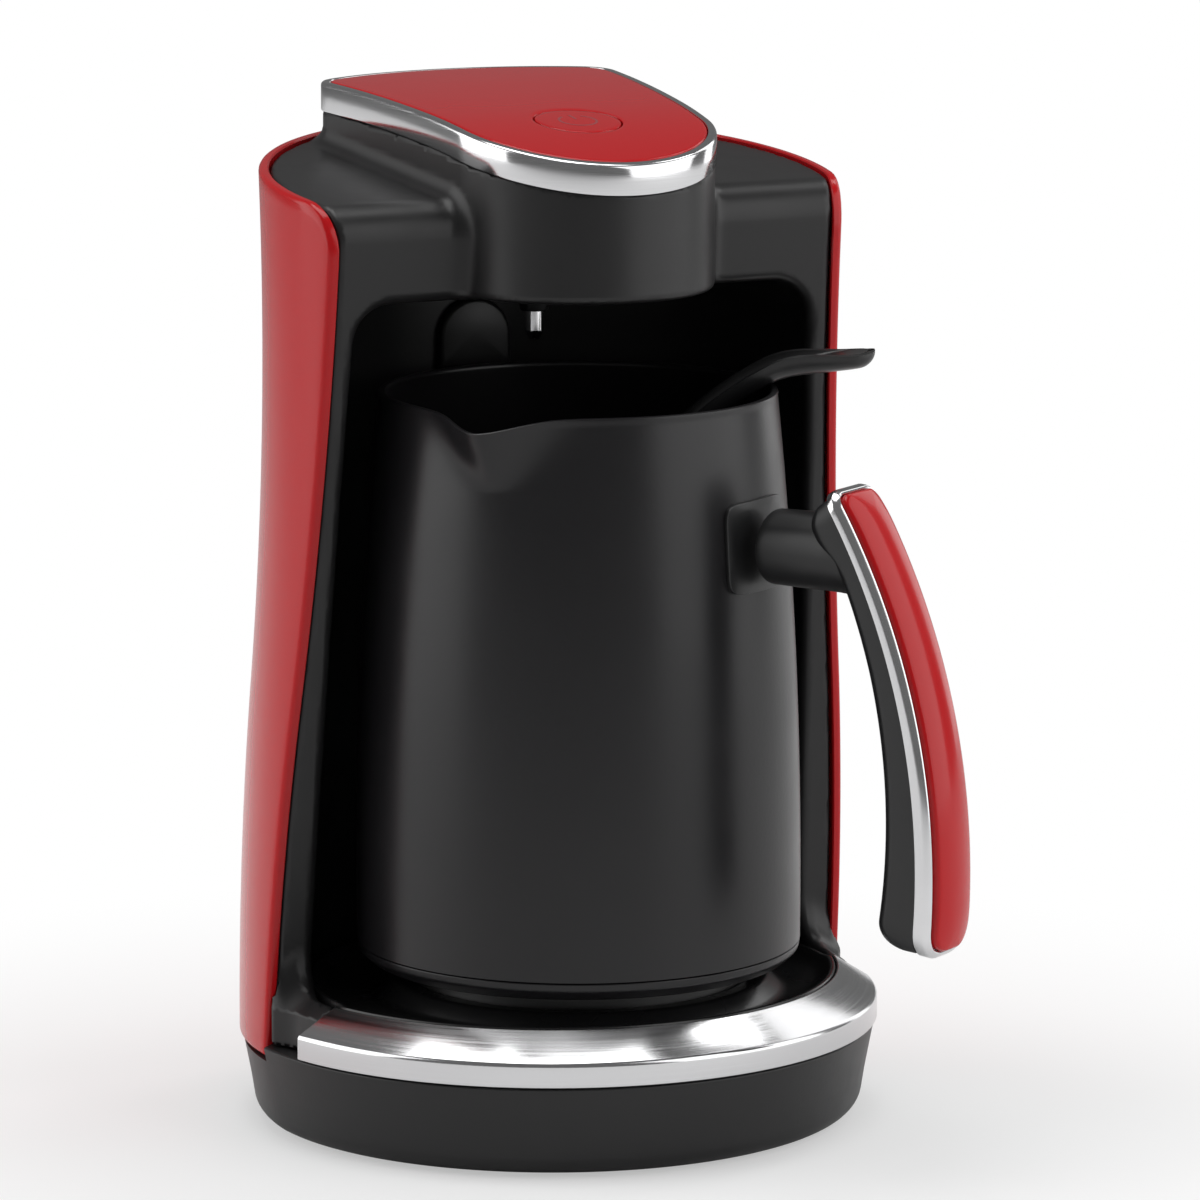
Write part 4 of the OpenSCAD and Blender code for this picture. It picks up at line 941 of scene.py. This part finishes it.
def gripSection(inner, outer, halfWidth, cornerR):
    # closed section of the grip for every row: flat outer face, and two rounded corners on the inner side
    a = np.linspace(0, math.pi / 2, 9)[None]
    cornerR = np.minimum(cornerR, 0.48 * (outer - inner))
    arcRadius = inner + cornerR * (1 - np.sin(a))
    arcAcross = halfWidth - cornerR * (1 - np.cos(a))
    outerAcross = halfWidth * np.linspace(-1, 1, 4)[None]
    radius = np.concatenate([arcRadius, arcRadius[:, ::-1], outer + 0 * outerAcross], 1)
    return radius, np.concatenate([arcAcross, -arcAcross[:, ::-1], outerAcross], 1)


lowAngle = math.radians(handle["low"])
gripLength = math.radians(handle["high"] - handle["low"]) * handle["faceR"]
run = endSteps(gripLength, handle["lowRound"], handle["highRound"])
angle = (lowAngle + run / handle["faceR"])[:, None]
inset = endInset(run, gripLength, handle["lowRound"], handle["highRound"])[:, None]
knuckleShare = smoothStep((run - gripLength + handle["knuckleFrom"]) / handle["knuckleRun"])[:, None]
outer = handle["faceR"] + (run / gripLength)[:, None] * handle["faceGrowth"]
inner = innerRadius(angle) - handle["knuckle"] * knuckleShare + inset
inner = np.minimum(inner, outer - handle["thinnest"])
halfWidth = handle["width"] / 2 - handle["sideDraw"] * inset
radius, across = gripSection(inner, outer, halfWidth, handle["cornerR"])
gripBack = loftLoops(faceSpot(radius, across, angle))

# the stem starts on the round of the mounting plate, ends inside the grip, and swells downwards before it;
# its edge is a list of (place, how much smaller the radius is there)
stem = {"z": 129.5, "r": 8.0, "growth": 0.4, "growthFrom": 48.8, "growthRun": 24.0, "topR": 8.3,
        "swell": 2.6, "swellFrom": 60.0, "swellRun": 10.0, "swellPower": 2.5,
        "edge": [(48.9, 0.5), (49.2, 0.15)], "from": 49.8, "to": 66.0, "last": [68.0, 70.0],
        "rootR": 48.9, "rootFrom": 49.0, "rootRun": 8.0, "endFrom": 58.0, "endRun": 12.0, "sink": 2.2}
edgeX, edgeLess = np.array(stem["edge"]).T
stemX = np.concatenate([edgeX, np.linspace(stem["from"], stem["to"], 14), stem["last"]])
lowR = stem["r"] + stem["growth"] * (stemX - stem["growthFrom"]) / stem["growthRun"]
lowR += stem["swell"] * np.clip((stemX - stem["swellFrom"]) / stem["swellRun"], 0, 1) ** stem["swellPower"]
lowR[:2] -= edgeLess
topR = np.minimum(lowR, stem["topR"])[:, None]
a = np.linspace(0, 2 * math.pi, 72, endpoint=False)
stemWide = topR * np.cos(a)
stemHigh = stem["z"] + np.where(np.sin(a) > 0, topR, lowR[:, None]) * np.sin(a)
rootShare = (1 - smoothStep((stemX - stem["rootFrom"]) / stem["rootRun"]))[:, None]
rootX = stemX[:, None] + rootShare * (np.sqrt(stem["rootR"] ** 2 - stemWide ** 2) - stem["rootR"])
endX = handle["innerX"] + np.sqrt((handle["innerR"] + stem["sink"]) ** 2 - (stemHigh - handle["innerZ"]) ** 2)
endShare = np.clip((stemX - stem["endFrom"]) / stem["endRun"], 0, 1)[:, None]
stemLoops = np.stack([rootX * (1 - endShare) + endX * endShare, stemWide, stemHigh], -1)
makePiece("handleBody", "pot", darkSatin,
          [gripBack, loftLoops(turned(stemLoops, handle["turn"]))], 35, ["handle_body"])


def frameOutline(low, high, halfWidth, lowR, highR, steps=9):
    # closed outline on the grip's face, (distance along, distance across): a rectangle with two corner radii
    a = np.linspace(0, math.pi / 2, steps)
    lowArc = np.stack([low + lowR - lowR * np.cos(a), halfWidth - lowR + lowR * np.sin(a)], 1)
    highArc = np.stack([high - highR + highR * np.sin(a), halfWidth - highR + highR * np.cos(a)], 1)
    straight = np.stack([np.linspace(low + lowR, high - highR, 60)[1:-1], np.full(58, halfWidth)], 1)
    half = np.concatenate([lowArc, straight, highArc])
    return np.concatenate([half, half[::-1] * [1, -1]])


def onFace(outline, radius):
    # an outline of the grip's face at a radius about the face's centre
    return faceSpot(radius, outline[:, 1], lowAngle + outline[:, 0] / handle["faceR"])


# its edge is a list of (distance inwards, radius about the face's centre)
trim = {"reach": 1.3, "halfWidth": 8.8, "lowR": 6.5, "highR": 4.2, "footR": 147.85, "footGrowth": 1.0,
        "edge": [(0.0, 149.9), (0.05, 150.25), (0.22, 150.5), (0.55, 150.95), (0.95, 151.35), (1.2, 151.5),
                 (1.5, 151.45), (1.75, 151.2), (1.8, 150.9), (1.8, 149.9), (1.4, 149.2)]}


def trimOutline(inset):
    # the trim's outline, drawn in by inset
    return frameOutline(-trim["reach"] + inset, gripLength + trim["reach"] - inset, trim["halfWidth"] - inset,
                        trim["lowR"] - inset, trim["highR"] - inset)


def trimFoot(inset):
    # foot of the trim, whose radius grows evenly from the grip's lower end to its upper end
    outline = trimOutline(inset)
    share = np.clip(outline[:, 0] / gripLength, 0, 1)
    return onFace(outline, trim["footR"] + trim["footGrowth"] * share)


trimLoops = [trimFoot(0.25), trimFoot(0.0)] + [onFace(trimOutline(inset), r) for inset, r in trim["edge"]]
makePiece("handleTrim", "pot", polishedChrome, [loftLoops(trimLoops, True)], 40, ["handle_trim"])


# its edge is a list of (share of the way to the middle line, drop below the crowned top)
insert = {"inset": 0.65, "halfWidth": 6.85, "lowR": 4.7, "highR": 2.4, "crownR": 22.0, "crownX": 131.7,
          "endDrop": 0.9, "endRun": 9.0,
          "edge": [(0.0, 2.4), (0.0, 0.75), (0.012, 0.4), (0.035, 0.15), (0.07, 0.03)],
          "top": (0.12, 0.2, 0.32, 0.46, 0.62, 0.8, 1.0)}


def insertLoop(share, drop):
    # the insert's outline drawn towards its middle line by a share, on a top that is an arc across and falls
    # off with the square of the way to either end
    outline = frameOutline(insert["inset"], gripLength - insert["inset"], insert["halfWidth"],
                           insert["lowR"], insert["highR"])
    along, across = outline[:, 0], outline[:, 1]
    spine = np.clip(along, insert["halfWidth"], gripLength - insert["halfWidth"])
    along, across = along + (spine - along) * share, across * (1 - share)
    ends = np.minimum(along, gripLength - along)
    radius = insert["crownX"] + np.sqrt(insert["crownR"] ** 2 - across ** 2) - drop
    radius = radius - insert["endDrop"] * np.clip(1 - ends / insert["endRun"], 0, 1) ** 2
    return onFace(np.stack([along, across], 1), radius)


insertLoops = [insertLoop(share, drop) for share, drop in insert["edge"]]
insertLoops += [insertLoop(share, 0.0) for share in insert["top"]]
makePiece("handleInsert", "pot", redGloss, [loftLoops(insertLoops)], 40, ["handle_insert"])


# its edge is a list of (share of the outline, height over the pot's wall)
mount = {"halfHigh": 9.6, "halfWide": 12.2, "power": 7.0,
         "edge": [(1.0, -0.3), (1.0, 0.7), (0.993, 0.84), (0.975, 0.9), (0.8, 0.9), (0.4, 0.9), (0.02, 0.9)]}


def mountSpot(up, sideways, out):
    # point on the pot's wall from distances up and sideways, raised by out
    z = stem["z"] + up
    r = potR(z) + out
    turn = sideways / pot["r"]
    return turned(np.stack([r * np.cos(turn), r * np.sin(turn), z], -1), handle["turn"])


outline = superLoop(96, mount["power"]) * [mount["halfHigh"], mount["halfWide"]]
mountLoops = [mountSpot(*(outline * share).T, out) for share, out in mount["edge"]]
makePiece("handleMount", "pot", darkSatin, [loftLoops(mountLoops)], 40, ["handle_mount"])
print("pot and handle made")


# a trough along a path in the plane of its turn: an arc over the pot's rim, then straight down to the bowl
spoon = {"turn": 72.0, "bendR": 75.0, "bendX": 74.44, "bendZ": 94.88, "tipSlope": 8.0, "dip": 52.0,
         "straight": 90.0, "sag": 5.0, "sagFrom": 40.0, "sagRun": 22.0,
         "width": 10.4, "high": 4.6, "wall": 1.1, "lip": 1.3, "sidePower": 0.8, "floorPower": 0.75,
         "edgeDrop": 0.25, "tipR": 5.2, "innerTipR": 3.8, "tipRun": 6.0, "tipWall": 1.5, "tipDepth": 0.72,
         "tipDepthR": 4.0, "deepenRun": 20.0, "bowlR": 9.0, "bowlWall": 1.2}

dip = math.radians(spoon["dip"])
bendLength = math.radians(spoon["dip"] - spoon["tipSlope"]) * spoon["bendR"]
tipSteps = (1 - np.cos(np.linspace(0, math.pi / 2, 16))) * spoon["tipRun"]
along = np.concatenate([tipSteps, np.linspace(spoon["tipRun"] + 0.6, bendLength, 34),
                        np.linspace(bendLength, bendLength + spoon["straight"], 16)[1:]])
bent = math.radians(90 + spoon["tipSlope"]) + np.minimum(along, bendLength) / spoon["bendR"]
further = np.maximum(along - bendLength, 0)
spoonTop = spoon["high"] / 2


def roundTip(distance, r, least):
    # share of the full size near a round end: sqrt(1 - (1 - distance / r)^2), which is 1 past the radius r
    return np.sqrt(np.clip(1 - np.clip(1 - distance / r, 0, 1) ** 2, least, 1))


def troughSide(depth, halfWidth):
    # one skin of the trough in every row, over q from edge to edge: it hangs below the top by
    # depth * |cos q|^0.75, and is halfWidth * |sin q|^0.8 away from the middle
    q = np.linspace(-math.pi / 2, math.pi / 2, 25)[None]
    up = depth[:, None] * (1 - np.abs(np.cos(q)) ** spoon["floorPower"])
    away = halfWidth[:, None] * np.sign(np.sin(q)) * np.abs(np.sin(q)) ** spoon["sidePower"]
    return spoonTop - depth[:, None] + up, away


half = roundTip(along, spoon["tipR"], 0.0002) * spoon["width"] / 2
deepening = spoon["tipDepth"] + (1 - spoon["tipDepth"]) * smoothStep(along / spoon["deepenRun"])
outDepth = spoon["high"] * deepening * roundTip(along, spoon["tipDepthR"], 0.01)
inAlong = np.clip(along - spoon["tipWall"], 0, None)
inHalf = roundTip(inAlong, spoon["innerTipR"], 0.0002) * (spoon["width"] / 2 - spoon["lip"])
inDepth = (spoon["high"] - spoon["wall"]) * smoothStep(inAlong / spoon["deepenRun"])
outerUp, outerWide = troughSide(outDepth, half)
innerUp, innerWide = troughSide(inDepth, inHalf)
lipWide = (half + inHalf)[:, None] / 2
lipUp = np.full_like(lipWide, spoonTop)
up = np.concatenate([outerUp, lipUp, innerUp[:, ::-1], lipUp], 1)
wide = np.concatenate([outerWide, lipWide, innerWide[:, ::-1], -lipWide], 1)
up[:, [0, 24, 26, 50]] -= spoon["edgeDrop"]    # the four long edges beside the two lips
radius = spoon["bendR"] + up
x = spoon["bendX"] + radius * np.cos(bent)[:, None] - further[:, None] * math.cos(dip)
z = spoon["bendZ"] + radius * np.sin(bent)[:, None] - further[:, None] * math.sin(dip)
z = z - spoon["sag"] * smoothStep((x - spoon["sagFrom"]) / spoon["sagRun"])
blade = loftLoops(turned(np.stack([x, wide, z], -1), spoon["turn"]))

# the bowl is the lower half of a hollow sphere at the shaft's end, tipped by the dip
bowlX = spoon["bendX"] - spoon["bendR"] * math.sin(dip) - spoon["straight"] * math.cos(dip)
bowlZ = spoon["bendZ"] + spoon["bendR"] * math.cos(dip) - spoon["straight"] * math.sin(dip)
sphere = np.radians(np.linspace(-90, 0, 12))[:, None]
innerR = spoon["bowlR"] - spoon["bowlWall"]
ringR = np.concatenate([spoon["bowlR"] * np.cos(sphere), innerR * np.cos(sphere[::-1])])
ringUp = spoonTop + np.concatenate([spoon["bowlR"] * np.sin(sphere), innerR * np.sin(sphere[::-1])])
a = np.linspace(0, 2 * math.pi, 48, endpoint=False)
forward = ringR * np.cos(a)
bowlRows = np.stack([bowlX + forward * math.cos(dip) - ringUp * math.sin(dip), ringR * np.sin(a),
                     bowlZ + forward * math.sin(dip) + ringUp * math.cos(dip)], -1)
bowl = (turned(bowlRows, spoon["turn"]), gridFaces(len(bowlRows), 48, False, True))
makePiece("spoonPiece", "spoon", darkSatin, [blade, bowl], 40, ["spoon"])
print("spoon made")


# sizes and distances from here on are in metres
stage = {"floorSize": 12.0, "floorColour": 0.86, "floorLift": 0.45, "liftFrom": 0.10, "liftTo": 0.24,
         "world": 0.16, "backdrop": 1.0, "aim": (0, 0, 0.12)}

floorMesh = bpy.data.meshes.new("floor")
s = stage["floorSize"]
floorMesh.from_pydata([(-s, -s, 0), (s, -s, 0), (s, s, 0), (-s, s, 0)], [], [(0, 1, 2, 3)])
floor = bpy.data.objects.new("floor", floorMesh)
bpy.context.scene.collection.objects.link(floor)

# to the camera the floor is matte and a little lifted near the object, and plain white further out
floorMaterial = bpy.data.materials.new("pale floor")
floorMaterial.use_nodes = True
n, l = floorMaterial.node_tree.nodes, floorMaterial.node_tree.links
n.clear()
out = n.new("ShaderNodeOutputMaterial")
mix = n.new("ShaderNodeMixShader")
matte = n.new("ShaderNodeBsdfDiffuse")
matte.inputs["Color"].default_value = (stage["floorColour"],) * 3 + (1,)
glow = n.new("ShaderNodeEmission")
glow.inputs["Color"].default_value = (1, 1, 1, 1)
place = n.new("ShaderNodeTexCoord")
length = n.new("ShaderNodeVectorMath")
length.operation = "LENGTH"
far = n.new("ShaderNodeMapRange")
far.interpolation_type = "SMOOTHSTEP"
far.inputs["From Min"].default_value = stage["liftFrom"]
far.inputs["From Max"].default_value = stage["liftTo"]
far.inputs["To Min"].default_value = stage["floorLift"]
path = n.new("ShaderNodeLightPath")
both = n.new("ShaderNodeMath")
both.operation = "MULTIPLY"
l.new(place.outputs["Object"], length.inputs[0])
l.new(length.outputs["Value"], far.inputs["Value"])
l.new(path.outputs["Is Camera Ray"], both.inputs[0])
l.new(far.outputs["Result"], both.inputs[1])
l.new(both.outputs[0], mix.inputs["Fac"])
l.new(matte.outputs[0], mix.inputs[1])
l.new(glow.outputs[0], mix.inputs[2])
l.new(mix.outputs[0], out.inputs["Surface"])
floorMesh.materials.append(floorMaterial)

world = bpy.data.worlds.new("studio")
bpy.context.scene.world = world
world.use_nodes = True
n, l = world.node_tree.nodes, world.node_tree.links
n["Background"].inputs["Color"].default_value = (1, 1, 1, 1)
path = n.new("ShaderNodeLightPath")
strength = n.new("ShaderNodeMapRange")
strength.inputs["To Min"].default_value = stage["world"]
strength.inputs["To Max"].default_value = stage["backdrop"]
l.new(path.outputs["Is Camera Ray"], strength.inputs["Value"])
l.new(strength.outputs["Result"], n["Background"].inputs["Strength"])


def aimed(thing, place, target):
    # puts a lamp or the camera at a place and points it at a target
    thing.location = place
    thing.rotation_mode = "QUATERNION"
    thing.rotation_quaternion = (Vector(target) - Vector(place)).to_track_quat("-Z", "Y")
    bpy.context.scene.collection.objects.link(thing)


def standing(turn, height, away):
    # place at a turn round the object, in degrees to the right of the front
    a = math.radians(turn)
    return (away * math.sin(a), -away * math.cos(a), height)


lamps = {
    "leftBox": {"place": standing(-112, 0.55, 1.3), "width": 1.44, "tall": 1.5, "radiance": 1.9},
    "rightBox": {"place": standing(50, 0.6, 1.2), "width": 1.71, "tall": 1.4, "radiance": 1.6},
    "rearRightBox": {"place": standing(112, 0.5, 1.3), "width": 0.45, "tall": 1.4, "radiance": 1.4},
    "topBox": {"place": (-0.05, 0.12, 1.3), "width": 0.8, "tall": 0.9, "radiance": 3.4},
    "smallBox": {"place": (0.64, 0.22, 1.03), "width": 0.2, "tall": 0.26, "radiance": 4.0},
}


def softBox(name, place, width, tall, radiance):
    # rectangular area lamp aimed at the object, with the power radiance * pi * area
    lamp = bpy.data.lights.new(name, "AREA")
    lamp.shape = "RECTANGLE"
    lamp.size, lamp.size_y = width, tall
    lamp.energy = radiance * math.pi * width * tall
    box = bpy.data.objects.new(name, lamp)
    aimed(box, place, stage["aim"])


for name, settings in lamps.items():
    softBox(name, **settings)

view = {"place": (-0.6567, -1.4317, 0.3926), "aim": (0.00898, -0.00419, 0.11134), "lens": 223.2, "sensor": 36,
        "nearest": 0.05}
lens = bpy.data.cameras.new("camera")
lens.lens = view["lens"]
lens.sensor_width = view["sensor"]
lens.clip_start = view["nearest"]
camera = bpy.data.objects.new("camera", lens)
aimed(camera, view["place"], view["aim"])
bpy.context.scene.camera = camera
bpy.context.scene.view_settings.view_transform = "Standard"
print("stage set")
